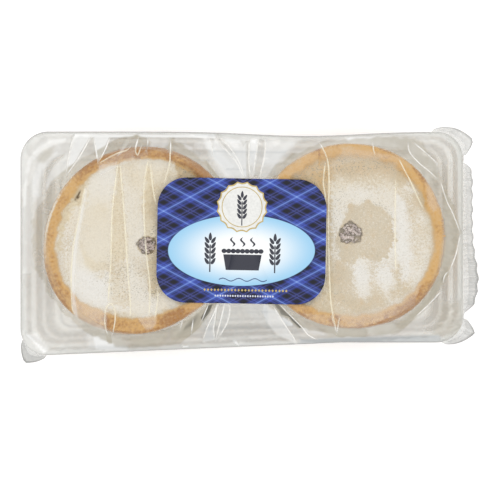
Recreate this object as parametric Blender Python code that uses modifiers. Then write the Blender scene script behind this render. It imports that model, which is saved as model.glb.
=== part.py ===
"""A sealed twin pack of scotch pies: two round pies stand in a clear moulded tray,
and clear film is drawn taut over both rims and gathered into a seal at one end.

The frame: millimetres in the values below, metres in the model. +Z is up, +X runs
along the pack towards its sealed end and +Y to its back edge. The origin is on
the surface that the pack stands on, under the middle of its length and width.
"""
import math

import bmesh
import bpy

MM = 0.001

# The pies under the film: two rims of one height, each a little out of true
PIE_RADIUS = 46.0
RIM_HEIGHT = 38.5
LEFT_PIE = (-55.0, -0.75)
RIGHT_PIE = (50.25, 2.0)
LID_SAG = 0.8
RIM_UNEVENNESS = 0.35

# The tray's flange, which holds the film out, seen from above
FLANGE_HEIGHT = 28.0
FLANGE_LEFT = -116.5
FLANGE_RIGHT = 108.5
BACK_EDGE = 55.2
BACK_WAIST = 2.2
BACK_WAIST_X = 28.0
BACK_WAIST_SPREAD = 38.0
FRONT_EDGE = -52.1
FRONT_SLOPE = 0.043
FRONT_SLOPE_END_X = 46.0
CORNER_RADIUS = 14.0

# The label lies over the gap between the pies and stiffens the film there
LABEL_CENTRE = (-4.25, -0.5)
LABEL_LENGTH = 84.5
LABEL_WIDTH = 62.5
LABEL_CORNER_RADIUS = 14.5
LABEL_TURN_DEG = -1.0
LABEL_THICKNESS = 0.4
LABEL_GAP = 0.55
LABEL_BRIDGE = 0.94
BRIDGE_MARGIN = -0.6

# How the film falls from the rims to the flange
TENT_SLACK = 1.0
TENT_HOLLOW = 1.6
TENT_BLEND = 0.08
TENT_RIPPLE = 0.45
TENT_RIPPLE_COUNT = 11

# The pack's side, from the flange down to the base: height and inset
SIDE_LIP = (26.6, 0.0)
SIDE_UPPER = (24.0, 1.2)
FIN_ROOT_TOP = (22.3, 2.0)
FIN_TIP_TOP = (21.6, 2.2)
FIN_TIP_BOTTOM = (20.6, 2.5)
FIN_ROOT_BOTTOM = (19.9, 2.8)
SIDE_MIDDLE = (12.0, 5.4)
SIDE_LOWER = (3.0, 8.4)
BASE_ROUND = (0.7, 9.8)
BASE_EDGE = (0.0, 11.8)

# The gathered seal at the right-hand end and the ears that the film leaves at corners
FIN_REACH = 5.4
FIN_BULGE = 3.0
FIN_BULGE_Y = -20.0
FIN_BULGE_SPREAD = 14.0
FIN_WAVE = 0.35
FIN_WAVE_PITCH = 7.0
FIN_DROOP = 0.12
FIN_SPREAD_OUT = 2.0
NOTCH_DEPTH = 4.2
NOTCH_SPREAD = 4.0
BACK_RIGHT_EAR = {"angle": 27.0, "reach": 8.5, "before": 24.0, "after": 84.0}
FRONT_RIGHT_EAR = {"angle": -24.0, "reach": 9.0, "before": 62.0, "after": 22.0}
FRONT_LEFT_EAR = {"angle": -125.5, "reach": 8.3, "before": 36.0, "after": 36.0}

# How finely the forms are drawn
CORNER_COLUMNS = 8
PACK_COLUMNS = 46
PACK_ROWS = 32
LABEL_COLUMNS = 18
LABEL_CORNER_COLUMNS = 5
LABEL_ROWS = 16


def bell(value, centre, spread):
    """A smooth bump of height 1 at the centre."""
    return math.exp(-((value - centre) / spread) ** 2)


def back_edge(x):
    """The flange's edge at +Y, drawn in slightly between the pies."""
    return BACK_EDGE - BACK_WAIST * bell(x, BACK_WAIST_X, BACK_WAIST_SPREAD)


def front_edge(x):
    """The flange's edge at -Y, which runs out towards the left-hand end."""
    return FRONT_EDGE - FRONT_SLOPE * max(0.0, FRONT_SLOPE_END_X - x)


def corner_inset(x, left, right, radius):
    """How far a long edge has turned in at x, inside the corner arcs."""
    into_corner = max(left + radius - x, x - (right - radius), 0.0)
    return radius - math.sqrt(max(radius ** 2 - into_corner ** 2, 0.0))


def columns(left, right, radius, corner_steps, middle_steps):
    """Column positions: even angles round the corners and even steps between them."""
    arc = [radius * (1.0 - math.cos(0.5 * math.pi * i / corner_steps)) for i in range(corner_steps)]
    start = left + radius
    step = (right - left - 2.0 * radius) / middle_steps
    middle = [start + step * i for i in range(middle_steps + 1)]
    return [left + a for a in arc] + middle + [right - a for a in reversed(arc)]


def edge_distance(x, y):
    """The way from a point on the pack's top to the nearest flange edge."""
    inset = corner_inset(x, FLANGE_LEFT, FLANGE_RIGHT, CORNER_RADIUS)
    ways = (x - FLANGE_LEFT, FLANGE_RIGHT - x, back_edge(x) - inset - y, y - front_edge(x) - inset)
    return max(min(ways), 0.0)


def rise_from(gap, edge):
    """The film's rise, 1 on its support and 0 on the flange."""
    if edge <= 0.0:
        return 0.0
    return (edge / (edge + TENT_SLACK * max(gap, 0.0))) ** TENT_HOLLOW


def smooth_max(a, b):
    """The larger of two rises, with the crease between them rounded."""
    near = max(TENT_BLEND - abs(a - b), 0.0) / TENT_BLEND
    return max(a, b) + 0.25 * TENT_BLEND * near ** 2


def label_gap(x, y):
    """The way from a point to the stiff middle of the label."""
    out_x = abs(x - LABEL_CENTRE[0]) - 0.5 * LABEL_LENGTH + BRIDGE_MARGIN
    out_y = abs(y - LABEL_CENTRE[1]) - 0.5 * LABEL_WIDTH + BRIDGE_MARGIN
    return math.hypot(max(out_x, 0.0), max(out_y, 0.0))


def pie_profile(x, y, centre):
    """A pie's distance, direction and the film's sag over its lid."""
    radius = math.hypot(x - centre[0], y - centre[1])
    angle = math.atan2(y - centre[1], x - centre[0])
    sag = LID_SAG * max(1.0 - (radius / PIE_RADIUS) ** 2, 0.0)
    return radius, angle, sag


def film_height(x, y):
    """The film's height: flat on each rim, a tent from there to the flange."""
    edge = edge_distance(x, y)
    rise = LABEL_BRIDGE * rise_from(label_gap(x, y), edge)
    sag = 0.0
    unevenness = 0.0
    for centre in (LEFT_PIE, RIGHT_PIE):
        radius, angle, lid_sag = pie_profile(x, y, centre)
        pie_rise = rise_from(radius - PIE_RADIUS, edge)
        rise = smooth_max(rise, pie_rise)
        sag = max(sag, lid_sag)
        ripple = TENT_RIPPLE * math.sin(TENT_RIPPLE_COUNT * angle)
        unevenness += 4.0 * ripple * max(pie_rise - 0.5, 0.0) * (1.0 - min(pie_rise, 1.0))
        unevenness += RIM_UNEVENNESS * math.sin(2.0 * angle + 0.8) * bell(radius, PIE_RADIUS, 9.0)
    height = FLANGE_HEIGHT + (RIM_HEIGHT - FLANGE_HEIGHT) * min(rise, 1.0)
    return height - sag + unevenness


def ear(x, y, corner, shape):
    """The reach of a film ear, which fans out round one corner's centre."""
    angle = math.degrees(math.atan2(y - corner[1], x - corner[0]))
    turn = angle - shape["angle"]
    width = shape["after"] if turn > 0.0 else shape["before"]
    return shape["reach"] * max(1.0 - abs(turn) / width, 0.0)


def fin_reach(x, y):
    """How far the seal stands out past the flange at an outline point."""
    inner_right = FLANGE_RIGHT - CORNER_RADIUS
    inner_left = FLANGE_LEFT + CORNER_RADIUS
    back_notch = back_edge(inner_right) - CORNER_RADIUS
    front_notch = front_edge(inner_right) + CORNER_RADIUS
    if x >= inner_right and front_notch <= y <= back_notch:
        reach = FIN_REACH + FIN_BULGE * bell(y, FIN_BULGE_Y, FIN_BULGE_SPREAD)
        reach += FIN_WAVE * math.sin(2.0 * math.pi * y / FIN_WAVE_PITCH)
        notches = bell(y, back_notch, NOTCH_SPREAD) + bell(y, front_notch, NOTCH_SPREAD)
        return reach - NOTCH_DEPTH * notches
    if x > 0.0 and y > 0.0:
        return ear(x, y, (inner_right, back_notch), BACK_RIGHT_EAR)
    if x > 0.0:
        return ear(x, y, (inner_right, front_notch), FRONT_RIGHT_EAR)
    if y < 0.0:
        corner = (inner_left, front_edge(inner_left) + CORNER_RADIUS)
        return ear(x, y, corner, FRONT_LEFT_EAR)
    return 0.0


def add_grid(bm, xs, rows, edges_at, height_at, turn=0.0, centre=(0.0, 0.0)):
    """A grid over a round-cornered plan, lifted to a height; returns its columns of points."""
    grid = []
    for x in xs:
        low, high = edges_at(x)
        column = []
        for row in range(rows + 1):
            y = low + (high - low) * row / rows
            px = centre[0] + x * math.cos(turn) - y * math.sin(turn)
            py = centre[1] + x * math.sin(turn) + y * math.cos(turn)
            column.append(bm.verts.new((px * MM, py * MM, height_at(px, py) * MM)))
        grid.append(column)
    for left, right in zip(grid, grid[1:]):
        for row in range(rows):
            bm.faces.new((left[row], right[row], right[row + 1], left[row + 1]))
    return grid


def outline_of(grid):
    """The grid's outer points, anticlockwise from above."""
    front = [column[0] for column in grid]
    right = grid[-1][1:-1]
    back = [column[-1] for column in reversed(grid)]
    left = list(reversed(grid[0][1:-1]))
    return front + right + back + left


def outward_normals(points):
    """The plan direction that faces out at each outline point."""
    normals = []
    count = len(points)
    for i in range(count):
        before = points[i - 1]
        after = points[(i + 1) % count]
        dx = after[0] - before[0]
        dy = after[1] - before[1]
        length = math.hypot(dx, dy)
        normals.append((dy / length, -dx / length))
    return normals


def finish_object(name, bm, colour, roughness, alpha=1.0):
    """The mesh as a named object with its own material."""
    bmesh.ops.recalc_face_normals(bm, faces=bm.faces)
    mesh = bpy.data.meshes.new(name)
    bm.to_mesh(mesh)
    bm.free()
    mesh.shade_smooth()
    mesh.set_sharp_from_angle(angle=math.radians(38.0))
    material = bpy.data.materials.new(name)
    material.use_nodes = True
    shader = material.node_tree.nodes["Principled BSDF"]
    shader.inputs["Base Color"].default_value = colour
    shader.inputs["Roughness"].default_value = roughness
    shader.inputs["Metallic"].default_value = 0.0
    shader.inputs["Alpha"].default_value = alpha
    mesh.materials.append(material)
    obj = bpy.data.objects.new(name, mesh)
    collection.objects.link(obj)
    return obj


def make_film_pack():
    """The wrapped tray with its pies: one closed form, as it is handled."""
    bm = bmesh.new()
    xs = columns(FLANGE_LEFT, FLANGE_RIGHT, CORNER_RADIUS, CORNER_COLUMNS, PACK_COLUMNS)

    def pack_edges(x):
        inset = corner_inset(x, FLANGE_LEFT, FLANGE_RIGHT, CORNER_RADIUS)
        return front_edge(x) + inset, back_edge(x) - inset

    grid = add_grid(bm, xs, PACK_ROWS, pack_edges, film_height)
    upper = outline_of(grid)
    plan = [(v.co.x / MM, v.co.y / MM) for v in upper]
    normals = outward_normals(plan)
    fin_tips = (FIN_TIP_TOP, FIN_TIP_BOTTOM)
    side = (SIDE_LIP, SIDE_UPPER, FIN_ROOT_TOP, FIN_TIP_TOP, FIN_TIP_BOTTOM, FIN_ROOT_BOTTOM,
            SIDE_MIDDLE, SIDE_LOWER, BASE_ROUND, BASE_EDGE)
    for level in side:
        lower = []
        for (x, y), (nx, ny) in zip(plan, normals):
            height, inset = level
            if level in fin_tips:
                reach = max(fin_reach(x, y), 0.0)
                inset = inset * (1.0 - min(reach / FIN_SPREAD_OUT, 1.0)) - reach
                height -= FIN_DROOP * reach
            lower.append(bm.verts.new(((x - nx * inset) * MM, (y - ny * inset) * MM, height * MM)))
        for i in range(len(upper)):
            j = (i + 1) % len(upper)
            bm.faces.new((upper[j], upper[i], lower[i], lower[j]))
        upper = lower
    bm.faces.new(list(reversed(upper)))
    bmesh.ops.triangulate(bm, faces=bm.faces)
    return finish_object("film_pack", bm, (0.80, 0.76, 0.68, 1.0), 0.25)


def make_label():
    """The paper label that bridges the pies, following the film under it."""
    bm = bmesh.new()
    half = 0.5 * LABEL_LENGTH
    xs = columns(-half, half, LABEL_CORNER_RADIUS, LABEL_CORNER_COLUMNS, LABEL_COLUMNS)

    def label_edges(x):
        reach = 0.5 * LABEL_WIDTH - corner_inset(x, -half, half, LABEL_CORNER_RADIUS)
        return -reach, reach

    def label_height(x, y):
        return film_height(x, y) + LABEL_GAP

    turn = math.radians(LABEL_TURN_DEG)
    add_grid(bm, xs, LABEL_ROWS, label_edges, label_height, turn, LABEL_CENTRE)
    label = finish_object("label", bm, (0.06, 0.09, 0.38, 1.0), 0.45)
    solidify = label.modifiers.new("thickness", "SOLIDIFY")
    solidify.thickness = LABEL_THICKNESS * MM
    solidify.offset = 1.0
    return label


for old in list(bpy.data.objects):
    bpy.data.objects.remove(old, do_unlink=True)
collection = bpy.data.collections.new("scotch_pie_pack")
bpy.context.scene.collection.children.link(collection)
make_film_pack()
make_label()
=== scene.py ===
"""Looks for a sealed twin pack of scotch pies, seen from straight above.

Clear film is drawn over a moulded clear tray in which two round pies stand. The
shapes below are worked out in millimetres in the pack's own frame and turned into
metres when a mesh is made.
"""
import math

import bmesh
import bpy
import numpy as np
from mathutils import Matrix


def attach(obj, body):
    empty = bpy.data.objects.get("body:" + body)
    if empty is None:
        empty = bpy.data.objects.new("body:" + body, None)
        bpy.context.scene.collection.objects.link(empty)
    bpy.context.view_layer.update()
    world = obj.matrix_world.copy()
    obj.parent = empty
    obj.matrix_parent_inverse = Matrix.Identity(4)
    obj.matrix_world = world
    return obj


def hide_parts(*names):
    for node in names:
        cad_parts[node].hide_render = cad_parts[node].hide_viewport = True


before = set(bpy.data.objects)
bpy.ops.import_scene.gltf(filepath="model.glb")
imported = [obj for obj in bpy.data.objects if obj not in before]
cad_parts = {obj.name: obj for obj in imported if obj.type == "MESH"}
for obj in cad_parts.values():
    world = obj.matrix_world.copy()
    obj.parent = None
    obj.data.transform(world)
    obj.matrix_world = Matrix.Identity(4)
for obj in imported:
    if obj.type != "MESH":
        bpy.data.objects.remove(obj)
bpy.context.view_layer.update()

MM = 0.001

# The photograph's frame: one pixel is half a millimetre at the height of the rims
PHOTO_MIDDLE = 250.0
MM_PER_PX = 0.5
CAMERA_HEIGHT = 838.0
CAMERA_Y = -5.0
SENSOR_MM = 36.0

# The pies under the film
PIE_RADIUS = 46.0
RIM_HEIGHT = 38.5
LEFT_PIE = (-55.0, -0.75)
RIGHT_PIE = (50.25, 2.0)
LID_SAG = 0.8
RIM_UNEVENNESS = 0.35

# The tray's flange, seen from above
FLANGE_HEIGHT = 28.0
FLANGE_LEFT = -116.5
FLANGE_RIGHT = 108.5
BACK_EDGE = 55.2
BACK_WAIST = 2.2
BACK_WAIST_X = 28.0
BACK_WAIST_SPREAD = 38.0
FRONT_EDGE = -52.1
FRONT_SLOPE = 0.043
FRONT_SLOPE_END_X = 46.0
CORNER_RADIUS = 14.0

# The label over the gap between the pies
LABEL_CENTRE = (-4.25, -0.5)
LABEL_LENGTH = 84.5
LABEL_WIDTH = 62.5
LABEL_CORNER_RADIUS = 14.5
LABEL_TURN_DEG = -1.0
LABEL_BRIDGE = 0.94
BRIDGE_MARGIN = -0.6

# How the film falls from the rims to the flange
TENT_SLACK = 1.0
TENT_HOLLOW = 1.6
TENT_BLEND = 0.08
TENT_RIPPLE = 0.45
TENT_RIPPLE_COUNT = 11
RIM_WAVE_START = 0.8
RIM_WAVE_SPREAD = 9.0

# The seal at the right-hand end and the ears at three corners
FIN_REACH = 5.4
FIN_BULGE = 3.0
FIN_BULGE_Y = -20.0
FIN_BULGE_SPREAD = 14.0
FIN_WAVE = 0.35
FIN_WAVE_PITCH = 7.0
FIN_DROOP = 0.12
FIN_SPREAD_OUT = 2.0
NOTCH_DEPTH = 4.2
NOTCH_SPREAD = 4.0
BACK_RIGHT_EAR = {"angle": 27.0, "reach": 8.5, "before": 24.0, "after": 84.0}
FRONT_RIGHT_EAR = {"angle": -24.0, "reach": 9.0, "before": 62.0, "after": 22.0}
FRONT_LEFT_EAR = {"angle": -125.5, "reach": 8.3, "before": 36.0, "after": 36.0}

# Where things sit inside the pack
FILM_INSET = 0.25
TRAY_FLOOR = 0.8
PIE_BASE = 1.3
PIE_TOP = 37.9
UNDER_FILM = 0.62


# Colours as screen values from 0 to 255
COLOURS = {
    # Film colours: the whitest is painted sheen from the overhead light, and the olive, darkest, bluish-grey
    # and edge greys are painted shade
    "thin film": (213, 212, 207),
    "film sheen and haze": (240, 240, 238),
    "shadowed film": (180, 173, 156),
    "deep fold shade": (96, 92, 80),
    "bluish-grey shade": (172, 176, 177),
    "film edge shade": (168, 168, 165),
    # Painted highlights along the film's folds
    "crease": (250, 249, 245),
    "crease highlight over a pie": (247, 239, 214),
    # The tray's wall grey is painted shade and its bend white a painted highlight
    "tray ledge": (240, 240, 236),
    "tray wall shade": (196, 196, 191),
    "tray bend highlight": (250, 250, 247),
    "pale crust": (200, 184, 154),
    "gold crust": (210, 166, 100),
    "brown crust": (166, 114, 54),
    "flour": (233, 230, 224),
    "creamy flour": (226, 213, 186),
    "crumb speck": (146, 138, 120),
    # Painted shade in the split and round the steam hole
    "crack": (98, 76, 44),
    "dark mince": (160, 142, 136),
    "pale mince": (218, 202, 194),
    "fat": (226, 220, 210),
    "thin check line": (104, 116, 200),
    "check line": (116, 146, 220),
    "check crossing": (156, 186, 238),
    "oval edge": (20, 22, 48),
    "oval middle": (248, 249, 248),
    "oval rim": (150, 202, 234),
    "navy ink": (30, 33, 50),
    "gold ink": (196, 172, 104),
    "white ink": (214, 218, 232),
    "cream ink": (232, 232, 228),
    "blue ink": (52, 72, 120),
    "floor": (250, 250, 250),
    "pale floor": (252, 252, 252),
}


# Small helpers: colour, photograph, noise and meshes

def tint(red, green, blue, alpha=1.0):
    """A linear colour from 0 to 255 screen values."""
    linear = []
    for value in (red, green, blue):
        share = value / 255.0
        linear.append(share / 12.92 if share <= 0.04045 else ((share + 0.055) / 1.055) ** 2.4)
    return (*linear, alpha)


def paint(name):
    return tint(*COLOURS[name])


def from_photo(px, py, height):
    """The place, in millimetres, that the photograph shows at a pixel, at a height."""
    scale = MM_PER_PX * height_scale(height)
    return (px - PHOTO_MIDDLE) * scale, CAMERA_Y - (py - PHOTO_MIDDLE) * scale


def path_from_photo(points, height=RIM_HEIGHT):
    return np.array([from_photo(px, py, height) for px, py in points])


def height_scale(height):
    """How much wider a pixel is at a height than at the height of the rims."""
    return (CAMERA_HEIGHT - height) / (CAMERA_HEIGHT - RIM_HEIGHT)


def bell(value, centre, spread):
    return np.exp(-((value - centre) / spread) ** 2)


def smooth_step(low, high, value):
    share = np.clip((value - low) / (high - low), 0.0, 1.0)
    return share * share * (3.0 - 2.0 * share)


def stacked(x, y, z):
    return np.column_stack([x.ravel(), y.ravel(), z.ravel()])


class Waves:
    """A smooth random field: many plane waves of set wavelengths, about 1 high."""

    def __init__(self, seed, shortest, longest, count=28, stretch=(1.0, 1.0)):
        rng = np.random.default_rng(seed)
        lengths = np.exp(rng.uniform(math.log(shortest), math.log(longest), count))
        turns = rng.uniform(0.0, 2.0 * math.pi, count)
        self.kx = 2.0 * math.pi / lengths * np.cos(turns) / stretch[0]
        self.ky = 2.0 * math.pi / lengths * np.sin(turns) / stretch[1]
        self.start = rng.uniform(0.0, 2.0 * math.pi, count)
        self.size = math.sqrt(2.0 / count)

    def __call__(self, x, y):
        total = np.zeros(np.broadcast(x, y).shape)
        for kx, ky, start in zip(self.kx, self.ky, self.start):
            total += np.sin(kx * x + ky * y + start)
        return total * self.size


def grid_quads(rows, columns, wrap=False, first=0):
    """Quads of a grid of points that is stored row by row."""
    last = columns if wrap else columns - 1
    i = np.arange(rows - 1)[:, None] * columns
    j = np.arange(last)[None, :]
    k = (j + 1) % columns
    quads = np.stack([i + j, i + k, i + columns + k, i + columns + j], axis=-1)
    return quads.reshape(-1, 4) + first


def add_piece(name, mesh, material):
    """Puts a mesh in the scene as a piece that moves with the pack."""
    mesh.materials.append(material)
    piece = bpy.data.objects.new(name, mesh)
    bpy.context.scene.collection.objects.link(piece)
    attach(piece, "root")
    return piece


def make_piece(name, points, faces, material, values=None, smooth=True, sharp_deg=None):
    """A mesh object from points in millimetres, with named values at its points."""
    mesh = bpy.data.meshes.new(name)
    mesh.from_pydata([tuple(p) for p in np.asarray(points) * MM], [], [tuple(f) for f in faces])
    for key, data in (values or {}).items():
        layer = mesh.attributes.new(key, "FLOAT", "POINT")
        layer.data.foreach_set("value", np.asarray(data, dtype=np.float32).ravel())
    mesh.validate()
    if smooth:
        mesh.shade_smooth()
    if sharp_deg:
        mesh.set_sharp_from_angle(angle=math.radians(sharp_deg))
    return add_piece(name, mesh, material)


def weld_sheet(piece, weld_reach, thickness, side):
    """Joins points that meet, and gives the sheet its thickness on one side."""
    weld = bmesh.new()
    weld.from_mesh(piece.data)
    bmesh.ops.remove_doubles(weld, verts=weld.verts, dist=weld_reach * MM)
    weld.to_mesh(piece.data)
    weld.free()
    modifier = piece.modifiers.new("sheet thickness", "SOLIDIFY")
    modifier.thickness = thickness * MM
    modifier.offset = side


# The pack's form, as the solid model has it

def back_edge(x):
    return BACK_EDGE - BACK_WAIST * bell(x, BACK_WAIST_X, BACK_WAIST_SPREAD)


def front_edge(x):
    return FRONT_EDGE - FRONT_SLOPE * np.maximum(0.0, FRONT_SLOPE_END_X - x)


def corner_inset(x, left, right, radius):
    into_corner = np.maximum(np.maximum(left + radius - x, x - (right - radius)), 0.0)
    return radius - np.sqrt(np.maximum(radius ** 2 - into_corner ** 2, 0.0))


def columns(left, right, radius, corner_steps, middle_steps):
    """Column positions: even angles round the corners, even steps between them."""
    arc = radius * (1.0 - np.cos(0.5 * math.pi * np.arange(corner_steps) / corner_steps))
    middle = np.linspace(left + radius, right - radius, middle_steps + 1)
    return np.concatenate([left + arc, middle, (right - arc)[::-1]])


def edge_distance(x, y):
    inset = corner_inset(x, FLANGE_LEFT, FLANGE_RIGHT, CORNER_RADIUS)
    ends = np.minimum(x - FLANGE_LEFT, FLANGE_RIGHT - x)
    sides = np.minimum(back_edge(x) - inset - y, y - front_edge(x) - inset)
    return np.maximum(np.minimum(ends, sides), 0.0)


def rise_from(gap, edge):
    """The film's rise, 1 on its support and 0 on the flange."""
    return (edge / np.maximum(edge + TENT_SLACK * np.maximum(gap, 0.0), 1e-9)) ** TENT_HOLLOW


def smooth_max(a, b):
    near = np.maximum(TENT_BLEND - np.abs(a - b), 0.0) / TENT_BLEND
    return np.maximum(a, b) + 0.25 * TENT_BLEND * near ** 2


def label_gap(x, y):
    out_x = np.abs(x - LABEL_CENTRE[0]) - 0.5 * LABEL_LENGTH + BRIDGE_MARGIN
    out_y = np.abs(y - LABEL_CENTRE[1]) - 0.5 * LABEL_WIDTH + BRIDGE_MARGIN
    return np.hypot(np.maximum(out_x, 0.0), np.maximum(out_y, 0.0))


def polar(x, y, centre):
    return np.hypot(x - centre[0], y - centre[1]), np.arctan2(y - centre[1], x - centre[0])


def facing_share(turn, facing_deg, spread_deg):
    """1 in one direction from a pie's middle, fading out over a spread of angles."""
    off = (np.degrees(turn) - facing_deg + 180.0) % 360.0 - 180.0
    return bell(off, 0.0, spread_deg)


# Each pie's outline: millimetres from its middle at an angle in degrees
LEFT_REACH = [(0, 47.5), (30, 48.6), (60, 48.3), (85, 47.6), (120, 46.6), (155, 46.8), (180, 47.9),
              (205, 50.0), (220, 50.0), (240, 48.4), (270, 45.9), (300, 43.7), (330, 45.0)]
RIGHT_REACH = [(0, 47.5), (20, 46.8), (50, 47.1), (85, 46.0), (125, 46.9), (180, 47.0), (235, 46.7),
               (272, 46.0), (315, 48.1), (340, 47.8)]
OUTLINE_EASE_DEG = 24.0
OUTLINE_EASE_STEPS = 9


def round_outline(angle, reach):
    """A pie's reach from its middle at each angle, eased between measured places."""
    places, lengths = zip(*reach)
    eased = np.zeros(angle.shape)
    shifts = np.linspace(-1.0, 1.0, OUTLINE_EASE_STEPS)
    shares = 1.0 + np.cos(math.pi * shifts)
    for shift, share in zip(shifts, shares):
        turned = np.degrees(angle) + shift * OUTLINE_EASE_DEG
        eased += share * np.interp(turned, places, lengths, period=360.0)
    return eased / shares.sum()


def past_pies(x, y):
    """How far a place lies outside the nearer pie's outline; less than 0 is over the pie."""
    nearest = np.full(x.shape, 1e9)
    for centre, reach in ((LEFT_PIE, LEFT_REACH), (RIGHT_PIE, RIGHT_REACH)):
        radius, angle = polar(x, y, centre)
        nearest = np.minimum(nearest, radius - round_outline(angle, reach))
    return nearest


def film_height(x, y):
    """The film: flat on each rim, a tent from there to the flange."""
    x, y = np.broadcast_arrays(np.asarray(x, dtype=float), np.asarray(y, dtype=float))
    edge = edge_distance(x, y)
    rise = LABEL_BRIDGE * rise_from(label_gap(x, y), edge)
    sag = np.zeros(x.shape)
    unevenness = np.zeros(x.shape)
    for centre in (LEFT_PIE, RIGHT_PIE):
        radius, angle = polar(x, y, centre)
        pie_rise = rise_from(radius - PIE_RADIUS, edge)
        rise = smooth_max(rise, pie_rise)
        sag = np.maximum(sag, LID_SAG * np.maximum(1.0 - (radius / PIE_RADIUS) ** 2, 0.0))
        ripple = TENT_RIPPLE * np.sin(TENT_RIPPLE_COUNT * angle)
        unevenness += 4.0 * ripple * np.maximum(pie_rise - 0.5, 0.0) * (1.0 - np.minimum(pie_rise, 1.0))
        unevenness += RIM_UNEVENNESS * np.sin(2.0 * angle + RIM_WAVE_START) * bell(
            radius, PIE_RADIUS, RIM_WAVE_SPREAD)
    height = FLANGE_HEIGHT + (RIM_HEIGHT - FLANGE_HEIGHT) * np.minimum(rise, 1.0)
    return height - sag + unevenness


def as_seen(x, y):
    """Where the camera sees a place of the film, measured at the height of the rims."""
    scale = height_scale(film_height(x, y))
    return x / scale, CAMERA_Y + (y - CAMERA_Y) / scale


def ear(x, y, corner, shape):
    angle = np.degrees(np.arctan2(y - corner[1], x - corner[0]))
    turn = angle - shape["angle"]
    width = np.where(turn > 0.0, shape["after"], shape["before"])
    return shape["reach"] * np.maximum(1.0 - np.abs(turn) / width, 0.0)


def fin_reach(x, y):
    """How far the seal and the ears stand out past the flange."""
    inner_right = FLANGE_RIGHT - CORNER_RADIUS
    inner_left = FLANGE_LEFT + CORNER_RADIUS
    back_notch = back_edge(inner_right) - CORNER_RADIUS
    front_notch = front_edge(inner_right) + CORNER_RADIUS
    seal = FIN_REACH + FIN_BULGE * bell(y, FIN_BULGE_Y, FIN_BULGE_SPREAD)
    seal = seal + FIN_WAVE * np.sin(2.0 * math.pi * y / FIN_WAVE_PITCH)
    seal = seal - NOTCH_DEPTH * (bell(y, back_notch, NOTCH_SPREAD) + bell(y, front_notch, NOTCH_SPREAD))
    back_ear = ear(x, y, (inner_right, back_notch), BACK_RIGHT_EAR)
    front_ear = ear(x, y, (inner_right, front_notch), FRONT_RIGHT_EAR)
    left_ear = ear(x, y, (inner_left, front_edge(inner_left) + CORNER_RADIUS), FRONT_LEFT_EAR)
    at_seal = (x >= inner_right) & (y >= front_notch) & (y <= back_notch)
    reach = np.where(x > 0.0, np.where(y > 0.0, back_ear, front_ear), np.where(y < 0.0, left_ear, 0.0))
    return np.maximum(np.where(at_seal, seal, reach), 0.0)


RING_CORNER_STEPS = 16
RING_MIDDLE_STEPS = 150
RING_ROWS = 70


def pack_outline(end_inset, side_inset, radius):
    """A ring round the pack, anticlockwise from its front left corner."""
    left = FLANGE_LEFT + end_inset
    right = FLANGE_RIGHT - end_inset
    xs = columns(left, right, radius, RING_CORNER_STEPS, RING_MIDDLE_STEPS)
    turn_in = corner_inset(xs, left, right, radius) + side_inset
    front = front_edge(xs) + turn_in
    back = back_edge(xs) - turn_in
    share = np.linspace(0.0, 1.0, RING_ROWS + 1)[1:-1]
    right_y = front[-1] + (back[-1] - front[-1]) * share
    left_y = front[0] + (back[0] - front[0]) * share
    x = np.concatenate([xs, np.full(RING_ROWS - 1, xs[-1]), xs[::-1], np.full(RING_ROWS - 1, xs[0])])
    y = np.concatenate([front, right_y, back[::-1], left_y[::-1]])
    return x, y


def outward(x, y):
    """The plan direction that faces out at each point of a ring."""
    dx = np.roll(x, -1) - np.roll(x, 1)
    dy = np.roll(y, -1) - np.roll(y, 1)
    length = np.hypot(dx, dy)
    return dy / length, -dx / length


# Shader node groups that several finishes share

def add_sockets(group, inputs, outputs):
    for name, kind, value in inputs:
        socket = group.interface.new_socket(name, in_out="INPUT", socket_type=kind)
        if value is not None:
            socket.default_value = value
    for name, kind in outputs:
        group.interface.new_socket(name, in_out="OUTPUT", socket_type=kind)
    return group.nodes.new("NodeGroupInput"), group.nodes.new("NodeGroupOutput")


class Wiring:
    """Short calls for placing and joining shader nodes in one tree."""

    def __init__(self, tree):
        self.tree = tree

    def node(self, kind, **settings):
        made = self.tree.nodes.new(kind)
        for key, value in settings.items():
            setattr(made, key, value)
        return made

    def join(self, source, target):
        self.tree.links.new(source, target)
        return source

    def feed(self, socket, value):
        if isinstance(value, bpy.types.NodeSocket):
            self.join(value, socket)
        else:
            socket.default_value = value

    def math(self, operation, *values, clamp=False):
        made = self.node("ShaderNodeMath", operation=operation, use_clamp=clamp)
        for socket, value in zip(made.inputs, values):
            self.feed(socket, value)
        return made.outputs[0]

    def mix(self, share, first, second, blend="MIX"):
        made = self.node("ShaderNodeMix", data_type="RGBA", blend_type=blend)
        self.feed(made.inputs[0], share)
        self.feed(made.inputs[6], first)
        self.feed(made.inputs[7], second)
        return made.outputs[2]

    def spread(self, value, low, high, to_low=0.0, to_high=1.0):
        made = self.node("ShaderNodeMapRange", interpolation_type="SMOOTHSTEP")
        for socket, number in zip(made.inputs, (value, low, high, to_low, to_high)):
            self.feed(socket, number)
        return made.outputs[0]

    def noise(self, place, scale, detail=3.0, roughness=0.55):
        made = self.node("ShaderNodeTexNoise")
        for key, value in (("Vector", place), ("Scale", scale), ("Detail", detail), ("Roughness", roughness)):
            self.feed(made.inputs[key], value)
        return made.outputs["Fac"]

    def value_of(self, name):
        return self.node("ShaderNodeAttribute", attribute_name=name).outputs["Fac"]

    def place(self):
        return self.node("ShaderNodeTexCoord").outputs["Object"]

    def group(self, tree, **inputs):
        made = self.node("ShaderNodeGroup")
        made.node_tree = tree
        for key, value in inputs.items():
            self.feed(made.inputs[key.replace("_", " ")], value)
        return made.outputs


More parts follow.
